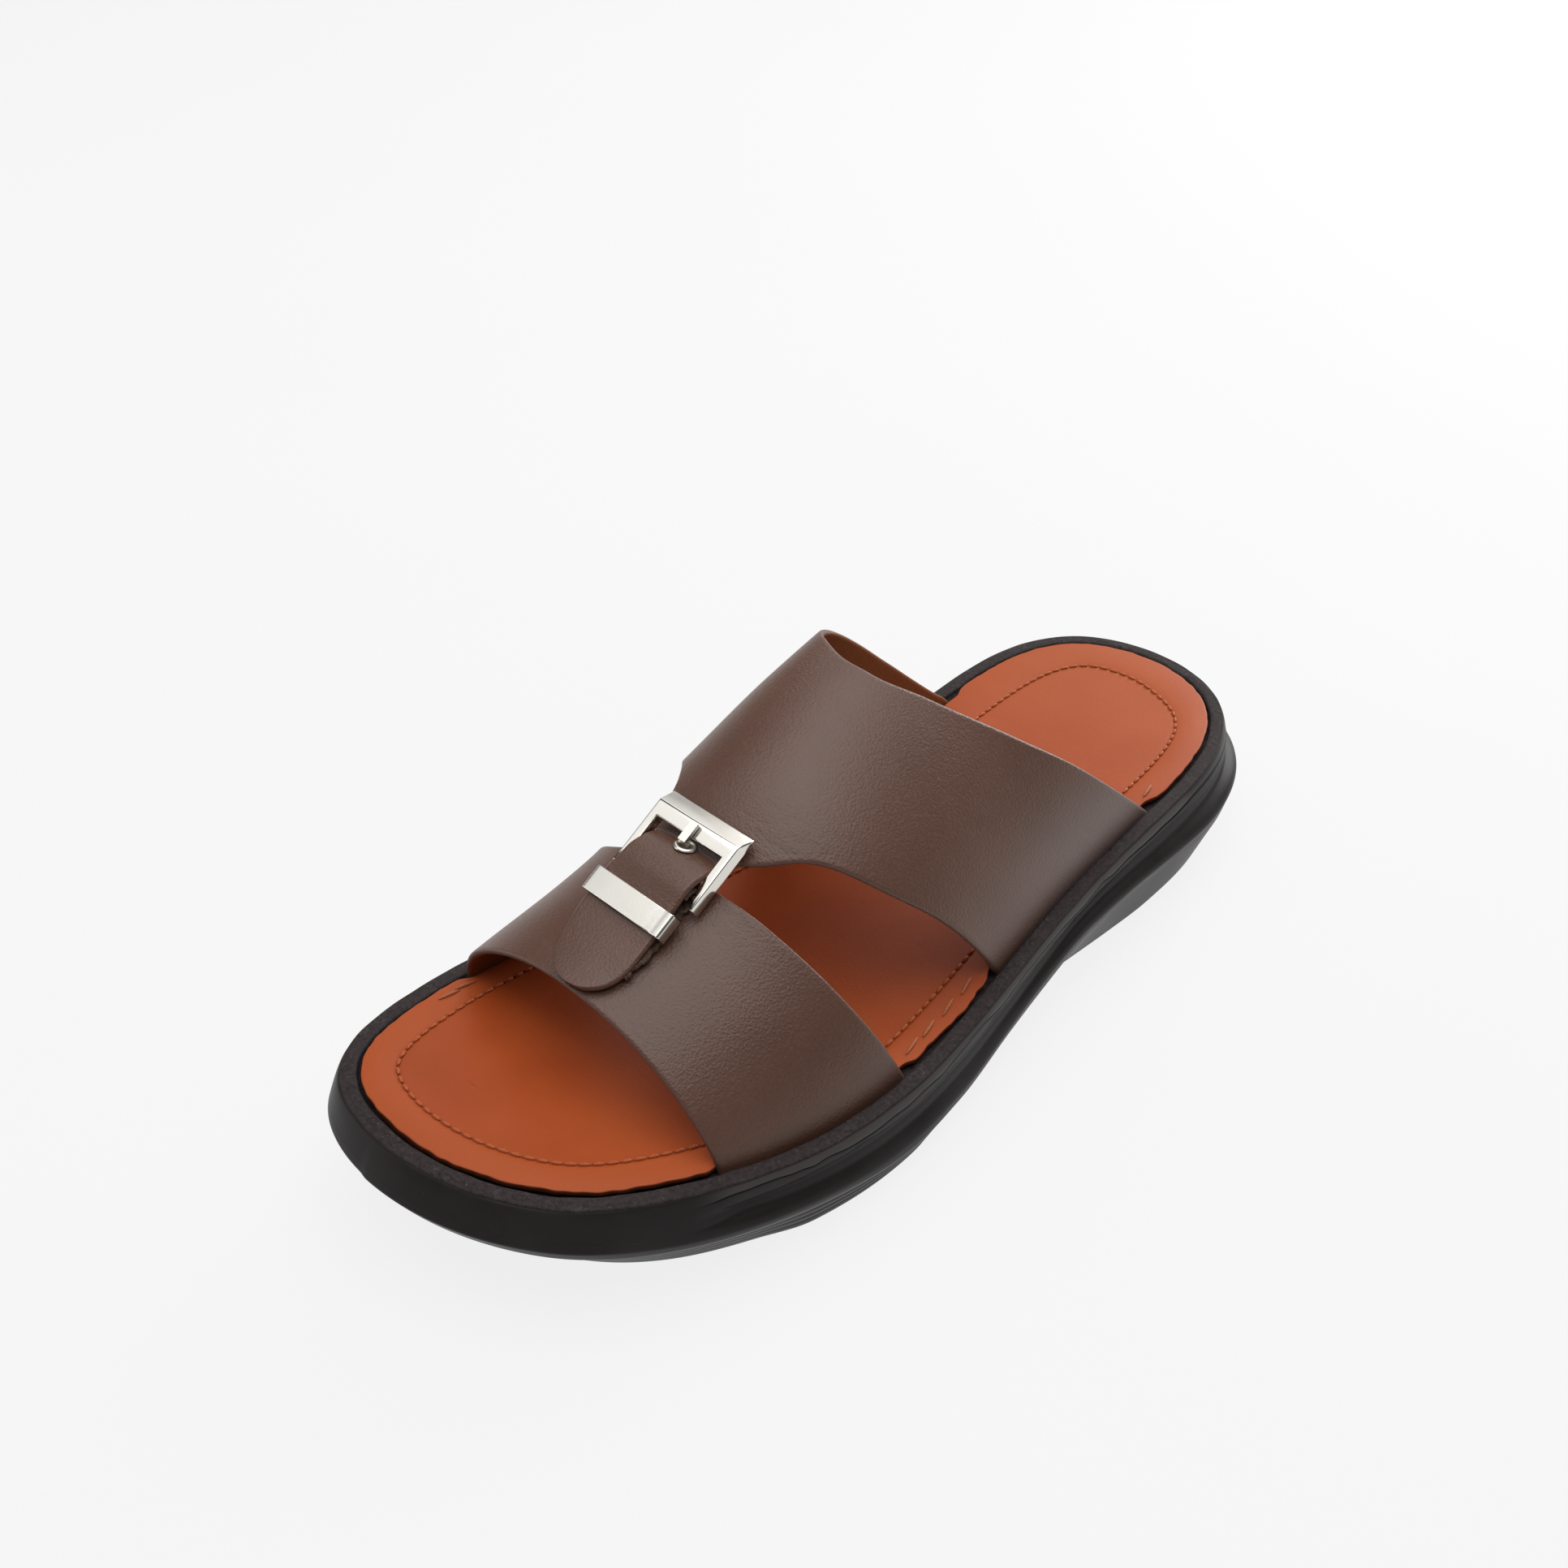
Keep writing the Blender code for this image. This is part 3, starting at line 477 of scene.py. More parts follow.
def loft(stations, depths):
    """Roll a grid through a stack of rings and weld it; a depth per ring becomes the second UV direction."""
    stack = np.array(stations)
    depths = np.array([np.broadcast_to(depth, ROUND) for depth in depths], float)
    bm = bmesh.new()

    def cell_of(u, w):
        return np.rint(w * (len(stack) - 1)).astype(int), np.rint(u * ROUND).astype(int) % ROUND

    def place(u, w):
        return stack[cell_of(u, w)]

    def chart(u, w):
        return u * RIM_LENGTH, depths[cell_of(u, w)]

    roll_grid(bm, ROUND, len(stack) - 1, place, chart)
    bmesh.ops.remove_doubles(bm, verts=bm.verts, dist=1e-6)
    bmesh.ops.dissolve_degenerate(bm, edges=bm.edges, dist=1e-7)
    bmesh.ops.recalc_face_normals(bm, faces=bm.faces)
    return bm


def wobble(seed, breadth, count=ROUND):
    """Return a closed line of soft random values about zero, with bumps about breadth points wide."""
    values = np.random.default_rng(seed).normal(size=count)
    waves = np.fft.rfftfreq(count) * breadth
    smooth = np.fft.irfft(np.fft.rfft(values) * np.exp(-waves ** 2 * 4), count)
    return smooth / smooth.std()


def smooth_more(piece, levels):
    """Give a piece a Subdivision Surface."""
    step = piece.modifiers.new("smooth", "SUBSURF")
    step.levels = step.render_levels = levels


RIM_LENGTH = float(np.linalg.norm(np.roll(RIM, -1, axis=0) - RIM, axis=1).sum())
print("rim is", round(RIM_LENGTH), "mm round")

# %% [markdown]
# ## Sole finish and shape
# The sole is moulded rubber: deep black-grey, satin rather than shiny, with a faint dusting that breaks the
# highlights. A Principled shader with a noise on its roughness is enough. Its side is a stack of rings: a
# band beside the welt with an uneven painted border, a hollow waist, a round bulge, a ridge, and fine ribs
# below. The two creases under the band are coloured near black, as painted shade. The underside is sunk
# inside its border, and wavy bars stand in the hollow as a plain tread.

# %% Rubber
rubber = Finish("moulded_rubber", IOR=1.5, Specular_IOR_Level=0.07)
cloud = rubber.noise(60.0, 4.0)
dust = rubber.noise(2600.0, 2.0)
lint = rubber.noise(1500.0, 2.0).between(0.74, 0.80)
paint_and_crease_shade = rubber.chart()[1]
# Painted shade: where the chart's second direction is negative, in the two creases under the band, the rubber
# turns near black and rough.
painted_crease_shade = paint_and_crease_shade.between(0.0, -0.4)
black = rubber.ramp(cloud, (0.35, (0.0185, 0.0155, 0.0155)), (0.75, (0.0260, 0.0222, 0.0222)))
linty = rubber.blend(lint * 0.12, black, (0.2, 0.19, 0.18))
dusty = rubber.blend(paint_and_crease_shade.between(0.0, 1.0), linty, (0.062, 0.055, 0.053))
rubber.drive(
    Base_Color=rubber.blend(painted_crease_shade, dusty, (0.0015, 0.0013, 0.0013)),
    Roughness=0.26 + cloud * 0.12 + dust * 0.08 + painted_crease_shade * 0.4,
    Normal=rubber.bump(dust + rubber.noise(500.0) * 2.0, 0.10, 0.05),
)
print(rubber.material.name)

# %% Sole
BAND_TOP = 0.5
BAND_FOOT = 3.2
STRIP_FOOT = 5.4
BAND_LIP = 0.25
CREASE = 0.40
LINE_DEPTH = 0.16
LINE_HALF = 0.35
WAIST_DROP = 6.3
TOE_WALL = (-90, -106)
PAINT_END = (96, 84)
TREAD_DEPTH = 1.0


def fade(value, start, stop):
    """Rise smoothly from 0 at start to 1 at stop."""
    share = np.clip((value - start) / (stop - start), 0.0, 1.0)
    return share * share * (3 - 2 * share)


def close_smooth(values, width):
    """Smooth a closed line of values."""
    kernel = np.hanning(width) / np.hanning(width).sum()
    half = width // 2
    return np.convolve(np.concatenate([values[-half:], values, values[:half]]), kernel, "valid")


toe_wall = fade(RIM_Y, *TOE_WALL)
painted = (1 - toe_wall) * fade(RIM_Y, *PAINT_END)
band_foot = RIM_Z - BAND_FOOT + (0.34 * wobble(3, 7) + 0.22 * wobble(4, 2.4)) * painted
strip_foot = RIM_Z - STRIP_FOOT + (0.24 * wobble(8, 8) + 0.18 * wobble(9, 2.4)) * painted
broken = np.clip(0.5 + wobble(10, 6), 0.0, 1.0) * painted
waist_top = RIM_Z - WAIST_DROP
waist_mid = (waist_top + SIDE["bulge"]) / 2
shoulder = 0.75 * SIDE["bulge_out"] + 0.25 * SIDE["waist_out"]
band_out = 0.6 * SIDE["welt_out"] + BAND_LIP * painted
strip_out = 0.7 * SIDE["welt_out"] + 0.3 * SIDE["waist_out"] + 0.1 * painted
# The third number of each row is its share of band paint; the negative shares paint shade into the creases.
wall_rows = [
    (0.10, RIM_Z - BAND_TOP - 0.45, 1.0),
    (0.15 + 0.5 * band_out, RIM_Z - 1.9, 1.0),
    (band_out, band_foot + 0.30, 1.0),
    (0.9 * band_out, band_foot + 0.04, 1.0),
    (band_out - CREASE, band_foot - 0.08, -0.6),
    (band_out - CREASE, band_foot - 0.40, -0.6),
    (strip_out, band_foot - 0.62, 0.30),
    (strip_out, strip_foot + 0.35, 0.25),
    (strip_out - 0.05, strip_foot + 0.04, 0.20),
    (strip_out - 0.05 - CREASE * broken, strip_foot - 0.10, -0.6 * broken),
    (strip_out - 0.10 - CREASE * broken, strip_foot - 0.32, -0.6 * broken),
    (SIDE["waist_out"], waist_top - 0.5, 0.0),
]
for height, out in ((0.68 * waist_top + 0.32 * waist_mid, 0.1), (waist_mid, 0.4)):
    for step, depth in ((LINE_HALF, 0.0), (0.0, LINE_DEPTH), (-LINE_HALF, 0.0)):
        wall_rows.append((SIDE["waist_out"] + out - depth, height + step, 0.0))
wall_rows += [
    (shoulder, SIDE["bulge"] + 2.4, 0.0),
    (0.95 * SIDE["bulge_out"] + 0.05 * shoulder, SIDE["bulge"] + 0.9, 0.0),
]
stations = [ring(-1.0, RIM_Z - 4.9), ring(-0.9, RIM_Z - 0.85), ring(-0.45, RIM_Z - BAND_TOP),
            ring(-0.05, RIM_Z - BAND_TOP - 0.12)]
paint_and_shade_rows = [np.zeros(ROUND)] * 3 + [0.5 * painted]
for out, height, share in wall_rows:
    down = np.clip((RIM_Z - BAND_TOP - height) / (RIM_Z - BAND_TOP - SIDE["bulge"]), 0.0, 1.0)
    flare = SIDE["bulge_out"] * down ** 0.8
    stations.append(ring(out * (1 - toe_wall) + flare * toe_wall, height))
    paint_and_shade_rows.append(share * painted)
stations += [
    ring(SIDE["bulge_out"], SIDE["bulge"]),
    ring(0.85 * SIDE["bulge_out"] + 0.15 * SIDE["ridge_out"], SIDE["bulge"] - 0.5),
    ring(SIDE["ridge_out"] + 0.1, SIDE["ridge"] + 0.25),
]
RIBBED = ((0.0, 0.0), (0.14, 0.0), (0.20, 0.35), (0.26, 0.0), (0.40, 0.0), (0.46, 0.38), (0.52, 0.0),
          (0.66, 0.0), (0.72, 0.38), (0.78, 0.0), (0.97, 0.0))
wall = SIDE["ridge"] - SIDE["floor"]
ribbed = np.clip(wall / 8.0, 0.0, 1.0) * np.clip((6.0 - RIM_Y) / 20.0, 0.0, 1.0)
for down, depth in RIBBED:
    out = SIDE["ridge_out"] * (1 - down) - SIDE["floor_in"] * down
    stations.append(ring(out - depth * ribbed, SIDE["ridge"] - wall * down))
for inset, rise in ((0.0, 0.0), (1.0, 0.0), (4.0, 0.0), (4.3, TREAD_DEPTH), (9.0, TREAD_DEPTH)):
    stations.append(ring(-SIDE["floor_in"] - inset, SIDE["floor"] + rise))
stations = [spine(stations[0]), *stations, spine(stations[-1])]
bare = np.zeros(ROUND)
paint_and_shade_rows = [bare, *paint_and_shade_rows, *[bare] * (len(stations) - len(paint_and_shade_rows) - 1)]
sole = add_piece("moulded_sole", loft(stations, paint_and_shade_rows), [rubber.material], "black_rubber", "outsole")
smooth_more(sole, 1)

# %% Tread
TREAD_PITCH = 7.5
TREAD_INSET = 5.2
BAR_HALF = 2.1
BAR_WAVE = 1.6
BAR_STEPS = 16
BAR_RISE = 1.3 * TREAD_DEPTH
tread_ring = ring(-SIDE["floor_in"] - TREAD_INSET, SIDE["floor"])
tread_sides = two_sides(tread_ring)


def tread_bar(middle):
    """Return the function that lays one wavy bar of the tread across the sole."""
    inner, outer = (np.interp(middle, side[:, 1], side[:, 0]) for side in tread_sides)

    def place(u, w):
        y = middle + (2 * w - 1) * BAR_HALF + BAR_WAVE * np.cos(4 * np.pi * u)
        return np.column_stack([inner + (outer - inner) * u, y, SOLE_AT["floor"](y)])

    return place


def moved_points(made):
    """Return the points among what an operator made."""
    return [part for part in made["geom"] if isinstance(part, bmesh.types.BMVert)]


bars = np.arange(tread_ring[HALF, 1] + 2 * TREAD_PITCH, tread_ring[0, 1] - TREAD_PITCH, TREAD_PITCH)
bm = bmesh.new()
for middle in bars:
    roll_grid(bm, BAR_STEPS, 1, tread_bar(middle), lambda u, w: (0 * u, 0 * w))
raised = moved_points(bmesh.ops.extrude_face_region(bm, geom=list(bm.faces)))
bmesh.ops.translate(bm, verts=raised, vec=(0, 0, BAR_RISE * MM))
bmesh.ops.recalc_face_normals(bm, faces=bm.faces)
print(len(bars), "bars, open edges", sum(not edge.is_manifold for edge in bm.edges))
add_piece("sole_tread", bm, [rubber.material], "black_rubber", sharp=40)

# %% [markdown]
# ## Welt board
# The rim between sole and insole is a fibre board. It is cut, not moulded, so its top is matt and hairy and
# catches dust, and its inner wall drops into the tray that takes the insole.

# %% Board finish
board = Finish("fibre_board", Specular_IOR_Level=0.15)
hairs = board.noise(900.0, 5.0, 0.7)
lint = board.noise(1700.0, 2.0).between(0.66, 0.76)
scuff = board.noise(140.0, 5.0, 0.65).between(0.52, 0.72) * hairs.between(0.35, 0.65)
dyed = board.ramp(hairs, (0.3, (0.014, 0.0100, 0.0104)), (0.7, (0.044, 0.033, 0.0335)))
scuffed = board.blend(scuff * 0.7, dyed, (0.085, 0.068, 0.066))
board.drive(
    Base_Color=board.blend(lint * 0.3, scuffed, (0.26, 0.23, 0.21)),
    Roughness=0.58 + hairs * 0.3,
    Normal=board.bump(hairs + scuff, 0.7, 0.3),
)
print(board.material.name)

# %% Welt
RIM_WIDTH = 4.2
TRAY_DEPTH = 3.2
grit = [0.06 * wobble(20 + k, 3) for k in range(6)]
stations = [
    ring(-1.25, RIM_Z - 4.7),
    ring(-1.15, RIM_Z - 1.0),
    ring(-0.35, RIM_Z - 0.85),
    ring(-0.12 + grit[0], RIM_Z - 0.5),
    ring(-0.2 + grit[0], RIM_Z - 0.15),
    ring(-0.6 + grit[1], RIM_Z + 0.02),
    ring(-1.05 + grit[1], RIM_Z - 0.10),
    ring(-1.4 + grit[2], RIM_Z + 0.02 + grit[2]),
    ring(-2.2, RIM_Z + 0.02 + grit[3]),
    ring(-3.0, RIM_Z + 0.02 + grit[4]),
    ring(-RIM_WIDTH + 0.5 + grit[5], RIM_Z),
    ring(-RIM_WIDTH + 2 * grit[5], RIM_Z - 0.4),
    ring(-RIM_WIDTH, RIM_Z - 1.0),
    ring(-RIM_WIDTH, RIM_Z - TRAY_DEPTH),
]
stations = [spine(stations[0]), *stations, spine(stations[-1])]
welt = add_piece("welt_board", loft(stations, range(len(stations))), [board.material], "dark_board", "welt")
smooth_more(welt, 1)

# %% [markdown]
# ## Last
# The straps were pulled over a last, the wooden foot a shoemaker works on. The same last is here as a
# function: a station along the foot and a turn from the inner side over the instep to the outer side give a
# point of the straps' outer surface.

# %% Last
STRAP_INSET = 4.8
STRAP_LIFT = 0.3
INNER_SWELL = 6.4
LAST = (
    (-100, 53.4, -1.6, 0.63, 0.60),
    (-62, 67.2, -4.8, 0.55, 0.57),
    (-35, 82.9, -9.0, 0.43, 0.54),
    (-5, 92.2, -15.5, 0.34, 0.51),
    (20, 96.8, -18.2, 0.30, 0.50),
    (60, 106.8, -18.2, 0.30, 0.50),
    (85, 110.8, -18.2, 0.30, 0.50),
)
LAST_AT = columns(LAST, "y crest lean inner_power outer_power".split())
inner_base, outer_base = two_sides(ring(-STRAP_INSET, 0.0))


def last_point(y, turn):
    """Return points of the last's upper side: turn is 0 at the inner foot of a strap and 180 at the outer."""
    across = -np.cos(np.radians(turn))
    inner = np.interp(y, inner_base[:, 1], inner_base[:, 0])
    outer = np.interp(y, outer_base[:, 1], outer_base[:, 0])
    base = SOLE_AT["rim"](y) - TRAY_DEPTH + STRAP_LIFT
    spread = np.clip(1 - across * across, 0.0, 1.0)
    rise = spread ** np.where(across < 0, LAST_AT["inner_power"](y), LAST_AT["outer_power"](y))
    swell = np.where(across < 0, INNER_SWELL * rise * (1 - rise), 0.0)
    x = (inner + outer) / 2 + (outer - inner) / 2 * across + LAST_AT["lean"](y) * spread - swell
    return np.column_stack([x, y, base + (LAST_AT["crest"](y) - base) * rise])


print("instep height", LAST[-1][1], "mm at the last's end")

# %% [markdown]
# ## Insole
# The insole is a board covered in tan leather. Its border is padded, so it rolls up a little. A row of
# thread holds the cover down about thirteen millimetres in, and further in round the heel. The cut edge is
# ragged where it meets the rim. The roll, the groove under the thread and the ragged edge are modelled;
# grain and colour are the finish's job. The finish also paints light and shade: a lighter heel as painted
# light, a paler border by the toe as a painted sheen, and dark stitch holes as painted shade.

# %% Insole edge
INSOLE_INSET = 5.05
BESIDE_STRAP = 6.75
SEAM_INSET = 13.5
HEEL_SEAM = 4.6
STITCH_STEP = 3.1
STRAP_MARGIN = 2.5
LEVEL_AFTER = 12.0
FRONT_FEET = ((-93.6, -40.0), (-93.6, -39.0))
REAR_FEET = ((0.5, 79.0), (1.0, 78.0))
outer_half = np.arange(ROUND) <= HALF
beside = np.zeros(ROUND, bool)
for (inner_low, inner_high), (outer_low, outer_high) in (FRONT_FEET, REAR_FEET):
    low, high = np.where(outer_half, outer_low, inner_low), np.where(outer_half, outer_high, inner_high)
    beside |= (RIM_Y > low - STRAP_MARGIN) & (RIM_Y < high + STRAP_MARGIN)
ragged = (0.13 + 0.20 * fade(np.abs(RIM_Y + 20), 30, 18)) * wobble(5, 1.2) + 0.05 * wobble(6, 8)
insole_edge = close_smooth(np.where(beside, BESIDE_STRAP, INSOLE_INSET), 5) + ragged * ~beside


def insole_ring(inset, rise):
    """Return a ring of the insole: by the rim at the rim's height, further in on the foot's own line."""
    points = ring(-inset, 0.0)
    share = np.clip((np.broadcast_to(inset, ROUND) - INSOLE_INSET) / LEVEL_AFTER, 0.0, 1.0)
    points[:, 2] = RIM_Z * (1 - share) + SOLE_AT["rim"](points[:, 1]) * share + rise
    return points


seam_inset = SEAM_INSET + HEEL_SEAM * close_smooth(
    np.where(outer_half, fade(RIM_Y, 122, 139), fade(RIM_Y, 20, 70)), 31)
seam_ring = insole_ring(seam_inset, 0.0)
seam_steps = np.linalg.norm(np.roll(seam_ring, -1, axis=0) - seam_ring, axis=1)
SEAM_LENGTH = float(seam_steps.sum())
seam_run = np.concatenate(([0], np.cumsum(seam_steps)))
STITCHES = round(SEAM_LENGTH / STITCH_STEP)
PITCH = SEAM_LENGTH / STITCHES
print(STITCHES, "stitches", round(PITCH, 2), "mm apart")

# %% Insole leather
tan = Finish("tan_leather_cover", IOR=1.45, Specular_IOR_Level=0.21)
along, inset = tan.chart()
tone = tan.noise(28.0, 3.0)
pores = tan.noise(2400.0, 3.0, 0.6)
border = inset.between(13.9, 12.0)
worn = tan.ramp(tone, (0.3, (0.290, 0.047, 0.0080)), (0.7, (0.350, 0.063, 0.0125)))
foot_y = tan.axes(tan.place)[1]
toe_end = foot_y.between(0.03, -0.07)
# Painted light: the heel is blended towards a lighter orange, where more light falls on it.
painted_heel_light = tan.blend(foot_y.between(0.06, 0.12) * 0.4, worn, (0.40, 0.085, 0.018))
# Painted sheen: the border outside the seam is paler towards the toe.
painted_border_sheen = tan.blend(border * toe_end * 0.40, painted_heel_light, (0.41, 0.090, 0.026))
raw = inset.between(5.5, 4.9)
beat = tan.node("Math", {"operation": "PINGPONG"}, {0: along, 1: PITCH / 2})
from_seam = (inset - SEAM_INSET).size()
# Painted shade: the stitch holes along the seam are darkened, beside a dent in the bump.
painted_hole_shade = beat.between(0.42, 0.22) * from_seam.between(0.55, 0.25)
trimmed = tan.blend(raw * 0.85, painted_border_sheen, (0.10, 0.028, 0.012))
tan.drive(
    Base_Color=tan.blend(painted_hole_shade * 0.65, trimmed, (0.070, 0.015, 0.005)),
    Roughness=0.40 + pores * 0.14 + raw * 0.3,
    Normal=tan.bump(pores * 0.6 + tan.cells(1300.0) * 0.5 - painted_hole_shade * 3.0, 0.22, 0.18),
)
print(tan.material.name)

# %% Insole piece
FOLDS = ((6.3, 0.38), (7.6, 0.50), (9.5, 0.54), (11.2, 0.46), (12.4, 0.30), (13.0, 0.12), (13.5, 0.00),
         (14.0, 0.12), (15.0, 0.16), (17.5, 0.12), (21.0, 0.10), (25.0, 0.08))
seat = RIM_Z - TRAY_DEPTH + 0.25
stations = [
    ring(-insole_edge - 0.3, seat),
    ring(-insole_edge - 0.1, RIM_Z - 0.9),
    insole_ring(insole_edge, 0.02 + 0.1 * ragged),
    insole_ring(insole_edge + 0.08, 0.26 + 0.1 * ragged),
    insole_ring(insole_edge + 0.30, 0.33),
]
depths = [3.5, 4.0, 4.9, 5.2, 5.5]
for inset_mm, rise in FOLDS:
    spread = np.clip((inset_mm - 6.0) / 7.5, 0.0, 1.0) * (seam_inset - SEAM_INSET)
    stations.append(insole_ring(np.maximum(inset_mm, insole_edge + 0.45 + 0.05 * inset_mm) + spread, rise))
    depths.append(inset_mm)
stations = [spine(stations[0]), *stations, spine(stations[-1])]
bm = loft(stations, [4.0, *depths, 40.0])
uv = bm.loops.layers.uv.active
for face in bm.faces:
    for loop in face.loops:
        u = loop[uv].uv.x / RIM_LENGTH * ROUND
        loop[uv].uv.x = float(np.interp(u, np.arange(ROUND + 1), seam_run))
insole = add_piece("insole_cover", bm, [tan.material], "tan_leather", "insole")
smooth_more(insole, 1)

# %% [markdown]
# ## Thread
# Each stitch is a short length of thread that comes up through one hole and goes down through the next. A
# flattened sphere of a few dozen faces, turned along the seam and partly sunk into it, reads as that at any
# distance, and two hundred of them stay light.

# %% Thread finish
thread = Finish("waxed_thread", Roughness=0.55, Specular_IOR_Level=0.25)
twist = thread.node("TexWave", {"wave_type": "BANDS", "bands_direction": "DIAGONAL"},
                    {"Vector": thread.place, "Scale": 900.0, "Distortion": 2.0}, output="Fac")
thread.drive(
    Base_Color=thread.ramp(twist, (0.2, (0.33, 0.068, 0.015)), (0.8, (0.46, 0.112, 0.031))),
    Normal=thread.bump(twist, 0.5, 0.12),
)
print(thread.material.name)

# %% Insole stitches
Stitch = namedtuple("Stitch", "spot direction length radius")
STITCH_SHARE = 0.84
STITCH_REACH = 0.8
STITCH_RADIUS = 0.50
STITCH_RISE = 0.27


def sew(stitches):
    """Return a bmesh with one flattened thread for each stitch."""
    bm = bmesh.new()
    for stitch in stitches:
        made = bmesh.ops.create_uvsphere(bm, u_segments=8, v_segments=6, radius=1.0)["verts"]
        turn = Vector(stitch.direction).to_track_quat("Z", "Y").to_matrix()
        size = Matrix.Diagonal((stitch.radius, stitch.radius, stitch.length / 2))
        bmesh.ops.transform(bm, verts=made, matrix=(turn @ size).to_4x4())
        bmesh.ops.translate(bm, verts=made, vec=Vector(stitch.spot))
    bmesh.ops.transform(bm, verts=bm.verts, matrix=Matrix.Scale(MM, 4) @ Matrix.Translation(-Vector(MIDDLE)))
    return bm


def along_ring(points, run, mark):
    """Return the point of a closed ring at a length along it."""
    closed = np.vstack([points, points[:1]])
    return np.array([np.interp(mark % run[-1], run, closed[:, axis]) for axis in range(3)])


row = []
for k in range(STITCHES):
    spot, before, after = (along_ring(seam_ring, seam_run, (k + 0.5) * PITCH + step)
                           for step in (0.0, -STITCH_REACH, STITCH_REACH))
    row.append(Stitch(spot + (0, 0, STITCH_RISE), after - before, PITCH * STITCH_SHARE, STITCH_RADIUS))
add_piece("insole_stitches", sew(row), [thread.material], "tan_leather")

# %% Lasting stitches
LASTING_INSET = 8.4
LASTING_LENGTH = 6.4
LASTING_RISE = 0.20
LASTING_SLANT = 0.16
OUTER_MARKS = (-33.0, -25.5, -17.5, -9.0, 82.0)
INNER_MARKS = (-102.0, -97.0, -34.0, -26.0, -18.0)
pale_thread = Finish("tan_thread", Roughness=0.6)
ply = pale_thread.noise(2200.0, 3.0)
pale_thread.drive(Base_Color=pale_thread.ramp(ply, (0.3, (0.26, 0.066, 0.018)), (0.7, (0.42, 0.125, 0.040))),
                  Normal=pale_thread.bump(ply, 0.4, 0.2))
lasting = insole_ring(LASTING_INSET, 0.50)
row = []
for marks, side in ((OUTER_MARKS, slice(1, HALF)), (INNER_MARKS, slice(HALF + 1, ROUND - 1))):
    run = lasting[side]
    for y in marks:
        k = int(np.argmin(np.abs(run[:, 1] - y)))
        way = run[min(k + 1, len(run) - 1)] - run[k - 1]
        way /= np.linalg.norm(way)
        row.append(Stitch(run[k] + (0, 0, LASTING_RISE), way + (LASTING_SLANT, 0, 0), LASTING_LENGTH,
                          STITCH_RADIUS))
add_piece("lasting_stitches", sew(row), [pale_thread.material], "tan_leather")

# %% [markdown]
# ## Strap leather
# The straps are full-grain calf: fine pebbles under a millimetre wide, brown with a little red in the shade,
# and a pale grey sheen painted low on the rear strap's outer side, by the sole. The inside is lined in a
# redder leather, and the cut edges are inked. Three finishes share the strap: outside, lining and edge. A
# Solidify gives each sheet its wall, and a Subdivision Surface rounds the cut edges, because a bevel is held
# back by the smallest cell of a grid.

# %% Strap finishes
CREASE_SPOT = (14.0, -50.0, 72.0)
calf = Finish("brown_calf", IOR=1.5, Specular_IOR_Level=0.47, Sheen_Weight=0.04, Sheen_Roughness=0.4)
mottle = calf.noise(45.0, 4.0)
pebble = calf.cells(1700.0, feature="SMOOTH_F1")
fine = calf.noise(3800.0, 2.0)
buckle_side = Vector((np.array(CREASE_SPOT) - MIDDLE) * MM)
from_buckle = calf.node("VectorMath", {"operation": "DISTANCE"}, {0: calf.place, 1: buckle_side},
                        output="Value")
wrinkle = calf.noise(1.0, 3.0, 0.6, calf.stretched((90.0, 330.0, 330.0), (0.0, 0.0, 0.6)))
pull = wrinkle * from_buckle.between(0.030, 0.008)
brown = calf.ramp(mottle, (0.3, (0.080, 0.034, 0.0205)), (0.7, (0.102, 0.046, 0.029)))
side_way, foot_way, height_way = calf.axes(calf.place)
# Painted sheen: low on the rear strap's outer side the colour is blended towards pale grey.
painted_sheen = height_way.between(0.064, 0.036) * foot_way.between(0.0, 0.05) * side_way.between(0.02, 0.04)
grained = calf.blend(pebble * 0.5, brown, (0.122, 0.061, 0.041))
calf.drive(
    Base_Color=calf.blend(painted_sheen * 0.55, grained, (0.20, 0.155, 0.145)),
    Roughness=0.30 + pebble * 0.16 + fine * 0.06,
    Normal=calf.bump(fine * 0.4 + pull * 3.0 - pebble, 0.46, 0.22),
)
lining = Finish("strap_lining", IOR=1.45, Specular_IOR_Level=0.2)
nap = lining.noise(1500.0, 3.0)
lining.drive(
    Base_Color=lining.ramp(nap, (0.3, (0.155, 0.047, 0.012)), (0.7, (0.22, 0.070, 0.019))),
    Roughness=0.55 + nap * 0.2,
    Normal=lining.bump(nap, 0.3, 0.15),
)
inked = Finish("inked_edge", Specular_IOR_Level=0.2)
fibre = inked.noise(1800.0, 4.0, 0.7)
inked.drive(
    Base_Color=inked.ramp(fibre, (0.3, (0.072, 0.036, 0.025)), (0.75, (0.165, 0.094, 0.068))),
    Roughness=0.42 + fibre * 0.2,
    Normal=inked.bump(fibre, 0.4, 0.2),
)
STRAP_FINISHES = [calf.material, lining.material, inked.material]
print([finish.name for finish in STRAP_FINISHES])

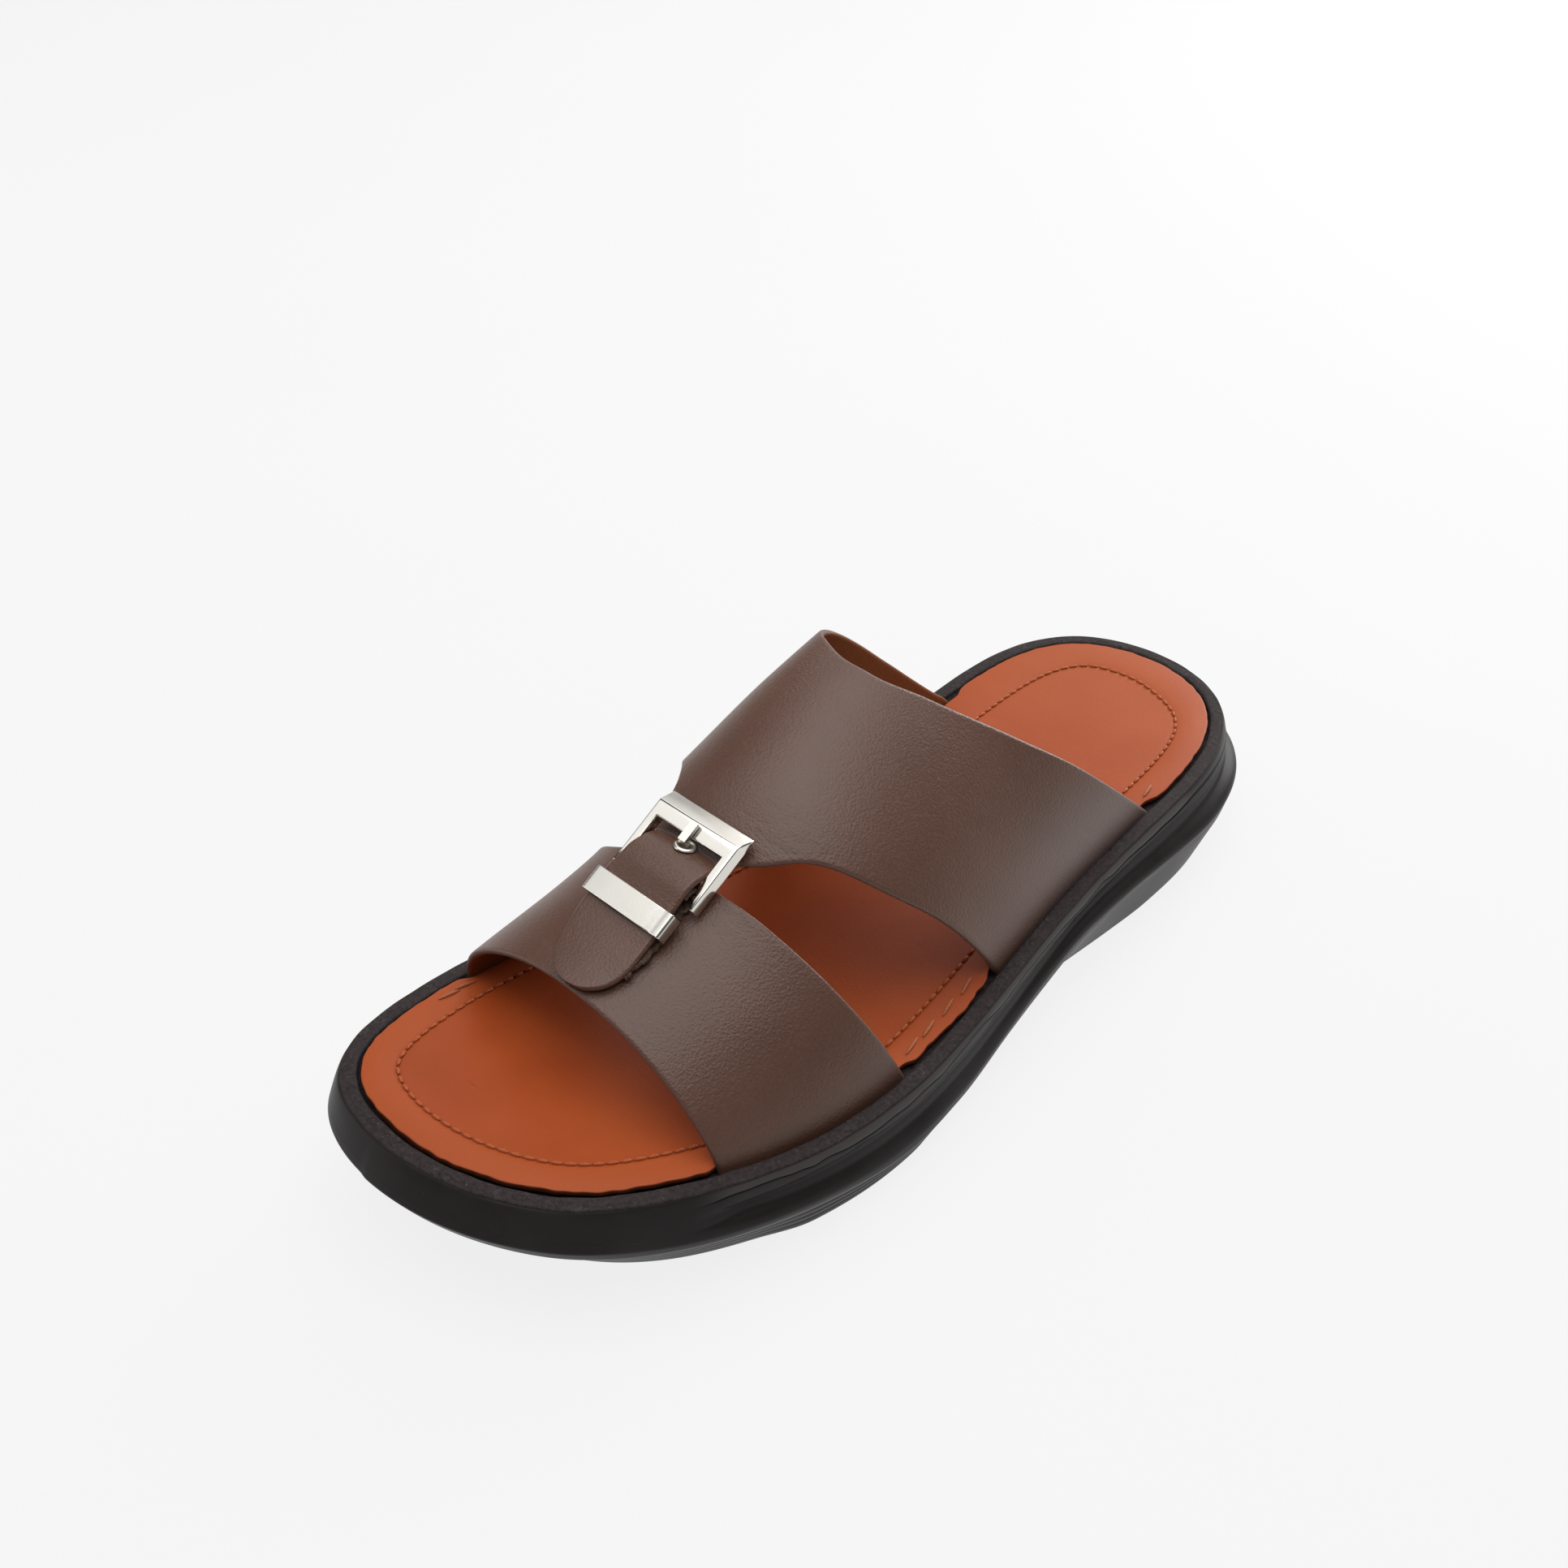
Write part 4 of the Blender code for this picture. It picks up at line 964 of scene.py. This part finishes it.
# %% Strap edges
FRONT_EDGES = (
    (0, -93.6, -40.0), (16, -94.6, -46.0), (38, -95.8, -55.5), (61, -96.4, -60.0), (90, -96.5, -60.5),
    (119, -95.8, -57.0), (142, -95.0, -52.0), (164, -94.1, -45.0), (180, -93.6, -39.0),
)
REAR_EDGES = (
    (0, 0.5, 79.0), (1, -3.0, 72.4), (2, -4.9, 68.6), (5, -8.5, 61.0), (10, -12.9, 52.4), (19, -18.0, 41.5),
    (41, -30.5, 24.0), (64, -44.0, 11.0), (67, -50.5, 9.8), (70, -55.4, 8.6), (74, -56.4, 7.3),
    (77, -54.6, 6.2), (92, -54.3, 2.75), (102, -52.8, 3.95), (119, -41.0, 12.5), (139, -28.2, 29.0),
    (153, -17.3, 44.0), (165, -8.6, 58.0), (176, -1.2, 72.5), (180, 1.0, 78.0),
)
EDGE_NAMES = ("turn", "toe_edge", "arch_edge")
FRONT_AT = columns(FRONT_EDGES, EDGE_NAMES)
REAR_AT = columns(REAR_EDGES, EDGE_NAMES)
STRAP_THICK = 1.8


def strap_place(edges, turn, w):
    """Return points of a strap between its arch edge, w = 0, and its toe edge, w = 1."""
    arch, toe_edge = edges["arch_edge"](turn), edges["toe_edge"](turn)
    return last_point(arch + (toe_edge - arch) * w, turn)


def face_up(bm):
    """Turn an open sheet so that its faces look away from the foot."""
    bmesh.ops.recalc_face_normals(bm, faces=bm.faces)
    if sum(face.normal.z * face.calc_area() for face in bm.faces) < 0:
        bmesh.ops.reverse_faces(bm, faces=bm.faces)


def thicken(piece, thick, edge=None, offset=-1.0, rim=2, inner=1):
    """Give a sheet its wall and round its cut edges, by a bevel of a given width or else by smoothing."""
    wall_step = piece.modifiers.new("wall", "SOLIDIFY")
    wall_step.thickness = thick * MM
    wall_step.offset = offset
    wall_step.use_even_offset = True
    wall_step.material_offset = inner
    wall_step.material_offset_rim = rim
    if edge is None:
        smooth_more(piece, 1)
        return
    round_step = piece.modifiers.new("edge", "BEVEL")
    round_step.width = edge * MM
    round_step.segments = 3
    round_step.limit_method = "ANGLE"
    round_step.angle_limit = math.radians(50)
    round_step.harden_normals = True
    round_step.material = rim


print("front strap covers", FRONT_EDGES[0][1:], "mm at its inner foot")

# %% Front strap
FRONT_COLUMNS = 120
FRONT_ROWS = 36
FOOT_CROWD = 0.05


def strap_turn(u):
    """Spread the turns so that the steep feet of a strap get more columns."""
    return 180 * (u - FOOT_CROWD * np.sin(2 * np.pi * u))


bm = bmesh.new()
roll_grid(bm, FRONT_COLUMNS, FRONT_ROWS,
          lambda u, w: strap_place(FRONT_AT, strap_turn(u), w), lambda u, w: (u, w))
face_up(bm)
front_strap = add_piece("front_strap_leather", bm, STRAP_FINISHES, "brown_leather", "front_strap")
thicken(front_strap, STRAP_THICK)

# %% Rear strap and tail
TAIL = (
    (-97.0, 57.2, 0.1, -0.4), (-94.0, 58.3, 0.5, -0.3), (-90.5, 59.6, 0.8, -0.5), (-86.0, 61.5, 0.6, -0.8),
    (-80.5, 63.9, 0.2, -1.2), (-75.5, 66.8, 0.0, -1.5), (-71.5, 69.7, 0.2, -1.5), (-68.5, 72.15, 0.3, -1.5),
    (-65.5, 73.25, 0.3, -1.5), (-62.0, 73.35, 0.3, -1.5), (-58.5, 72.7, 0.4, -1.5), (-55.5, 71.8, 0.8, -1.5),
)
TAIL_AT = columns(TAIL, "y upper camber axis".split())
TAIL_HALF = 10.8
TAIL_LOBE = 1.2
LOBE_START = (-68.5, -72.5)
LOBE_END = (-89.0, -81.0)
TAIL_ROUND_Y = -85.8
TAIL_ROUND = 11.3
TAIL_TIP = math.radians(88)
TAIL_TURNS = (77.0, 102.0)
TAIL_START_Y = -55.5
TAIL_JOINED = 0.06
TAIL_STRAIGHT = 0.74
INNER_CROWD = 1.3
OUTER_CROWD = 1.15
SIDE_COLUMNS = 52
TAIL_COLUMNS = 24
REAR_ROWS = 44
TAIL_ROWS = 44


def tail_place(y, share):
    """Return points on the tail's upper side; share runs from -1 at its inner border to 1."""
    past = np.clip((TAIL_ROUND_Y - y) / TAIL_ROUND, 0.0, 1.0)
    half_width = TAIL_HALF * np.sqrt(1 - past * past)
    lobe = TAIL_LOBE * fade(y, *LOBE_START) * fade(y, *LOBE_END)
    x = TAIL_AT["axis"](y) + share * half_width - lobe * np.clip(-share, 0.0, 1.0)
    return np.column_stack([x, y, TAIL_AT["upper"](y) - TAIL_AT["camber"](y) * share * share])


def rear_turn(u):
    """Columns by their turn: the two sides, and between them the columns that run on as the tail."""
    total = 2 * SIDE_COLUMNS + TAIL_COLUMNS
    first, last = SIDE_COLUMNS / total, 1 - SIDE_COLUMNS / total
    inner = TAIL_TURNS[0] * np.clip(u / first, 0, 1) ** INNER_CROWD
    middle = (TAIL_TURNS[1] - TAIL_TURNS[0]) * np.clip((u - first) / (last - first), 0, 1)
    outer = 180 - (180 - TAIL_TURNS[1]) * np.clip((1 - u) / (1 - last), 0, 1) ** OUTER_CROWD
    return np.where(u <= first, inner, np.where(u < last, TAIL_TURNS[0] + middle, outer))


def tail_run(u, w):
    """Points of the tail: the first stretch leaves the strap's edge, the rest follows the tail's own line."""
    turn = TAIL_TURNS[0] + (TAIL_TURNS[1] - TAIL_TURNS[0]) * u
    share = 2 * u - 1
    ahead = np.clip((w - TAIL_JOINED) / (TAIL_STRAIGHT - TAIL_JOINED), 0, 1)
    bend = np.clip((w - TAIL_STRAIGHT) / (1 - TAIL_STRAIGHT), 0, 1)
    y = TAIL_START_Y + (TAIL_ROUND_Y - TAIL_START_Y) * ahead - TAIL_ROUND * np.sin(bend * TAIL_TIP)
    joined = np.clip(w / TAIL_JOINED, 0, 1)[:, None]
    return strap_place(REAR_AT, turn, np.ones_like(u)) * (1 - joined) + tail_place(y, share) * joined


bm = bmesh.new()
roll_grid(bm, 2 * SIDE_COLUMNS + TAIL_COLUMNS, REAR_ROWS,
          lambda u, w: strap_place(REAR_AT, rear_turn(u), w), lambda u, w: (u, w))
roll_grid(bm, TAIL_COLUMNS, TAIL_ROWS, tail_run, lambda u, w: (u, 1 + w))
bmesh.ops.remove_doubles(bm, verts=bm.verts, dist=2e-5)
face_up(bm)
rear_strap = add_piece("rear_strap_leather", bm, STRAP_FINISHES, "brown_leather", "rear_strap")
thicken(rear_strap, STRAP_THICK)

# %% [markdown]
# ## Buckle leather
# The buckle hangs on a short leather loop that comes up from the front strap, folds round the pin and goes
# back under the tail. Nobody sees its faces, only its raw, hairy edges between the keeper and the frame, so
# its border is torn a little and its finish is dry and fibrous.

# %% Raw leather
rawhide = Finish("raw_loop_leather", Roughness=0.9)
fuzz = rawhide.noise(1400.0, 6.0, 0.75)
rawhide.drive(
    Base_Color=rawhide.ramp(fuzz, (0.30, (0.016, 0.009, 0.006)), (0.5, (0.085, 0.048, 0.031)),
                            (0.68, (0.24, 0.155, 0.105))),
    Normal=rawhide.bump(fuzz, 0.9, 0.6),
)
print(rawhide.material.name)

# %% Buckle loop
PIN_Y = -66.0
PIN_RADIUS = 1.0
LOOP_THICK = 1.0
LOOP_START_Y = -88.0
LOOP_LIFT = 0.35
LOOP_LEFT = -10.2
LOOP_RIGHT = 8.8
LOOP_FLARE = 1.5
FLARE_START = (-72.0, -79.0)
LOOP_PLAY = 0.3
LOOP_EDGE = 0.2
LOOP_COLUMNS = 24
TORN = 0.26
SLOT_HALF = 1.8
SLOT_END = 2.2
BUCKLE_X = -1.7
BUCKLE_LIFT = 0.6
pin_z = float(LAST_AT["crest"](PIN_Y)) + BUCKLE_LIFT + LOOP_THICK + PIN_RADIUS
fold = PIN_RADIUS + LOOP_PLAY + LOOP_THICK / 2
loop_path = [(y, float(LAST_AT["crest"](y)) + LOOP_LIFT + LOOP_THICK / 2)
             for y in np.linspace(LOOP_START_Y, PIN_Y - 2, 40)]
loop_path += [(PIN_Y + fold * math.sin(a), pin_z - fold * math.cos(a)) for a in np.linspace(0.15, 2.99, 10)]
loop_path += [(PIN_Y - 0.9, pin_z + fold), (-68.3, pin_z + fold - 1.0)]
loop_path = np.array(loop_path)
torn = [TORN * wobble(41 + k, 2, len(loop_path)) for k in range(2)]
loop_right = LOOP_RIGHT + LOOP_FLARE * fade(loop_path[:, 0], *FLARE_START)


def loop_place(u, w):
    """Points of the loop: u across it, w from its end on the strap round the pin and back."""
    k = np.rint(w * (len(loop_path) - 1)).astype(int)
    left = LOOP_LEFT + torn[0][k]
    right_side = loop_right[k] + torn[1][k]
    return np.column_stack([left + (right_side - left) * u, loop_path[k, 0], loop_path[k, 1]])


def in_slot(face):
    """Say whether a face of the loop lies where the prong needs its slot."""
    spot = face.calc_center_median()
    return (abs(spot.x / MM + MIDDLE[0] - BUCKLE_X) < SLOT_HALF
            and spot.y / MM + MIDDLE[1] > PIN_Y - SLOT_END)


bm = bmesh.new()
roll_grid(bm, LOOP_COLUMNS, len(loop_path) - 1, loop_place, lambda u, w: (u, w))
bmesh.ops.delete(bm, geom=[face for face in bm.faces if in_slot(face)], context="FACES")
face_up(bm)
buckle_loop = add_piece("buckle_loop_leather", bm, [rawhide.material], "raw_leather", "buckle_loop")
thicken(buckle_loop, LOOP_THICK, LOOP_EDGE, offset=0.0, rim=0, inner=0)

# %% [markdown]
# ## Nickel
# Frame, prong, eyelet and keeper are plated with nickel: bright and slightly warm, with soft edges from the
# polishing wheel. The frame is polished, apart from its satin rear bevel. The keeper is brushed along its
# length, which a stretched noise in roughness and bump shows, and prong and eyelet are a little duller.

# %% Metal finishes
def nickel(name, rough, brushing, grain, shine=1.0):
    """Return a plated finish; brushing stretches its scratches along X and shine scales its colour."""
    metal = Finish(name, Metallic=1.0)
    scratch = metal.noise(1.0, 3.0, 0.6, metal.stretched(brushing))
    haze = metal.noise(220.0, 3.0)
    return metal.drive(
        Base_Color=metal.ramp(haze, (0.3, (0.735 * shine, 0.71 * shine, 0.655 * shine)),
                              (0.7, (0.765 * shine, 0.74 * shine, 0.685 * shine))),
        Roughness=rough + scratch * grain + haze * 0.02,
        Normal=metal.bump(scratch, grain * 0.25, 0.04),
    )


polished = nickel("polished_nickel", 0.08, (900.0, 900.0, 900.0), 0.06, 0.95)
brushed = nickel("brushed_nickel", 0.22, (60.0, 1800.0, 1800.0), 0.06, 0.86)
satin = nickel("satin_nickel", 0.42, (500.0, 500.0, 500.0), 0.10, 0.86)
rolled = nickel("rolled_nickel", 0.28, (500.0, 500.0, 500.0), 0.05, 1.04)
print(polished.name, brushed.name, satin.name, rolled.name)

# %% Buckle frame
FRAME_SLOPE = math.atan(0.63)
FRAME_HALF_THICK = 1.6
FRAME_EDGE = 0.32
SATIN_FACING = 0.97
SATIN_AREA = 10 * MM * MM
PIN_LENGTH = 24.4


def on_frame(x, along, rise):
    """Return a point of the tilted buckle frame, with its pin at along = rise = 0."""
    cos, sin = math.cos(FRAME_SLOPE), math.sin(FRAME_SLOPE)
    spot = np.array([BUCKLE_X + x, PIN_Y + along * cos - rise * sin, pin_z + along * sin + rise * cos])
    return Vector((spot - MIDDLE) * MM)


SECTIONS = (
    ((-12.9, -2.9), (-13.2, -2.9), (-13.7, -2.9)),
    ((-10.9, 2.6), (-13.2, 2.6), (-13.7, 2.6)),
    ((-10.9, 11.4), (-13.2, 15.2), (-13.7, 19.2)),
    ((10.9, 11.4), (13.2, 15.2), (13.7, 19.2)),
    ((10.9, 2.6), (13.2, 2.6), (13.7, 2.6)),
    ((12.9, -2.9), (13.2, -2.9), (13.7, -2.9)),
)
bm = bmesh.new()
corners = []
for inside, crest, foot in SECTIONS:
    turns = ((inside, 1), (crest, 1), (foot, -1), (inside, -1))
    corners.append([bm.verts.new(on_frame(*spot, side * FRAME_HALF_THICK)) for spot, side in turns])
loops = []
for section in corners:
    loops.append([bm.edges.new((a, b)) for a, b in zip(section, section[1:] + section[:1])])
for left, right_side in zip(loops, loops[1:]):
    bmesh.ops.bridge_loops(bm, edges=left + right_side)
for section in (corners[0], corners[-1]):
    bmesh.ops.contextual_create(bm, geom=section)
bmesh.ops.recalc_face_normals(bm, faces=bm.faces)
bmesh.ops.bevel(bm, geom=list(bm.edges), offset=FRAME_EDGE * MM, segments=3, profile=0.5, affect="EDGES",
                material=-1)
for face in bm.faces:
    if face.normal.z > SATIN_FACING and face.calc_area() > SATIN_AREA:
        face.material_index = 1
pin_turn = Matrix.Rotation(math.pi / 2, 4, "Y")
bmesh.ops.create_cone(bm, cap_ends=True, segments=24, radius1=PIN_RADIUS * MM, radius2=PIN_RADIUS * MM,
                      depth=PIN_LENGTH * MM, matrix=Matrix.Translation(on_frame(0, 0, 0)) @ pin_turn)
add_piece("buckle_frame_nickel", bm, [polished, satin], "nickel", "buckle_frame", sharp=40)

# %% Prong
EYELET_Y = -58.5
PRONG_HALF = 1.15
PRONG_THICK = 1.1
PRONG_EDGE = 0.48
RING_PLAY = 0.2
PRONG_LIFT = 0.3
HALF_WIRE = 0.45
leather_z = float(TAIL_AT["upper"](EYELET_Y))
ring_radius = PIN_RADIUS + RING_PLAY + HALF_WIRE
prong_path = [(PIN_Y + ring_radius * math.cos(a), pin_z + ring_radius * math.sin(a))
              for a in np.radians(np.linspace(-150, 40, 9))]
prong_path += [(EYELET_Y - 2.4, leather_z - 3.1), (EYELET_Y - 0.45, leather_z - 1.8),
               (EYELET_Y - 0.1, leather_z + 1.3)]
for along in (9.8, 11.4, 14.6):
    spot = on_frame(0, along, FRAME_HALF_THICK + PRONG_LIFT + HALF_WIRE) / MM + Vector(MIDDLE)
    prong_path.append((spot.y, spot.z))
bm = bmesh.new()
previous = None
for y, z in prong_path:
    pair = [bm.verts.new(Vector((np.array([BUCKLE_X + x, y, z]) - MIDDLE) * MM))
            for x in (-PRONG_HALF, PRONG_HALF)]
    edge = bm.edges.new(pair)
    if previous:
        bmesh.ops.bridge_loops(bm, edges=[previous, edge])
    previous = edge
face_up(bm)
prong = add_piece("buckle_prong_nickel", bm, [rolled], "nickel", "buckle_prong")
thicken(prong, PRONG_THICK, PRONG_EDGE, offset=0.0, rim=0, inner=0)

# %% Eyelet
EYELET = ((1.70, 0.40), (1.78, 0.66), (2.0, 0.84), (2.3, 0.92), (2.6, 0.84), (2.84, 0.62), (2.92, 0.36),
          (2.8, 0.2), (2.1, 0.1), (2.1, -1.8), (1.70, -1.8))
slope = math.atan(float(TAIL_AT["upper"](EYELET_Y + 1) - TAIL_AT["upper"](EYELET_Y - 1)) / 2)
bm = bmesh.new()
turned = [bm.verts.new((radius * MM, 0, height * MM)) for radius, height in EYELET]
edges = [bm.edges.new((a, b)) for a, b in zip(turned, turned[1:] + turned[:1])]
bmesh.ops.spin(bm, geom=turned + edges, cent=(0, 0, 0), axis=(0, 0, 1), angle=2 * math.pi, steps=40,
               use_merge=True)
bmesh.ops.remove_doubles(bm, verts=bm.verts, dist=1e-6)
bmesh.ops.recalc_face_normals(bm, faces=bm.faces)
seat_spot = (tail_place(np.array([EYELET_Y]), np.array([0.0]))[0] - MIDDLE) * MM
bmesh.ops.transform(bm, verts=bm.verts, matrix=Matrix.Translation(seat_spot) @ Matrix.Rotation(slope, 4, "X"))
add_piece("tail_eyelet_nickel", bm, [rolled], "nickel", "tail_eyelet", sharp=45)

# %% Keeper
KEEPER_Y = -75.6
KEEPER_SLOPE = math.atan(0.62)
KEEPER_HALF = 13.0
KEEPER_LENGTH = 6.4
KEEPER_THICK = 0.9
KEEPER_CORNER = 0.6
KEEPER_CROWN = 0.22
KEEPER_PLAY = 0.4
KEEPER_EDGE = 0.22
KEEPER_POINTS = 31
DISH = 0.28
DISH_FROM_END = 1.9
DISH_WIDTH = 1.1
top_z = float(TAIL_AT["upper"](KEEPER_Y)) + KEEPER_PLAY + KEEPER_THICK / 2
half_height = (STRAP_THICK + 2 * KEEPER_PLAY + KEEPER_THICK) / 2
band_half = KEEPER_HALF - KEEPER_THICK / 2
outline = []
for k, (sx, sz) in enumerate(((1, 1), (-1, 1), (-1, -1), (1, -1))):
    for step in range(7):
        angle = math.radians(90 * k + 15 * step)
        outline.append((sx * (band_half - KEEPER_CORNER) + KEEPER_CORNER * math.cos(angle),
                        sz * (half_height - KEEPER_CORNER) + KEEPER_CORNER * math.sin(angle)))
    if sz > 0 and sx > 0:
        flat = band_half - KEEPER_CORNER
        for x in np.linspace(flat, -flat, KEEPER_POINTS)[1:-1]:
            dish = DISH * math.exp(-((flat - x - DISH_FROM_END) / DISH_WIDTH) ** 2)
            outline.append((x, half_height + KEEPER_CROWN * (1 - (x / flat) ** 2) - dish))
keeper_spot = (np.array([BUCKLE_X, KEEPER_Y, top_z - half_height]) - MIDDLE) * MM
tilt = Matrix.Translation(Vector(keeper_spot)) @ Matrix.Rotation(KEEPER_SLOPE, 4, "X")
bm = bmesh.new()
first = [bm.verts.new(tilt @ Vector((x * MM, -KEEPER_LENGTH / 2 * MM, z * MM))) for x, z in outline]
hoop = [bm.edges.new((a, b)) for a, b in zip(first, first[1:] + first[:1])]
pushed = moved_points(bmesh.ops.extrude_edge_only(bm, edges=hoop))
bmesh.ops.translate(bm, verts=pushed, vec=tilt.to_3x3() @ Vector((0, KEEPER_LENGTH * MM, 0)))
bmesh.ops.recalc_face_normals(bm, faces=bm.faces)
keeper = add_piece("tail_keeper_nickel", bm, [brushed, polished], "nickel", "tail_keeper")
thicken(keeper, KEEPER_THICK, KEEPER_EDGE, offset=0.0, rim=1, inner=0)

# %% [markdown]
# ## Size
# The dressed sandal has to fill the same box as its solids. Its box is measured and printed here.

low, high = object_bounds()
print("size", [round((b - a) * 1000, 1) for a, b in zip(low, high)], "mm")
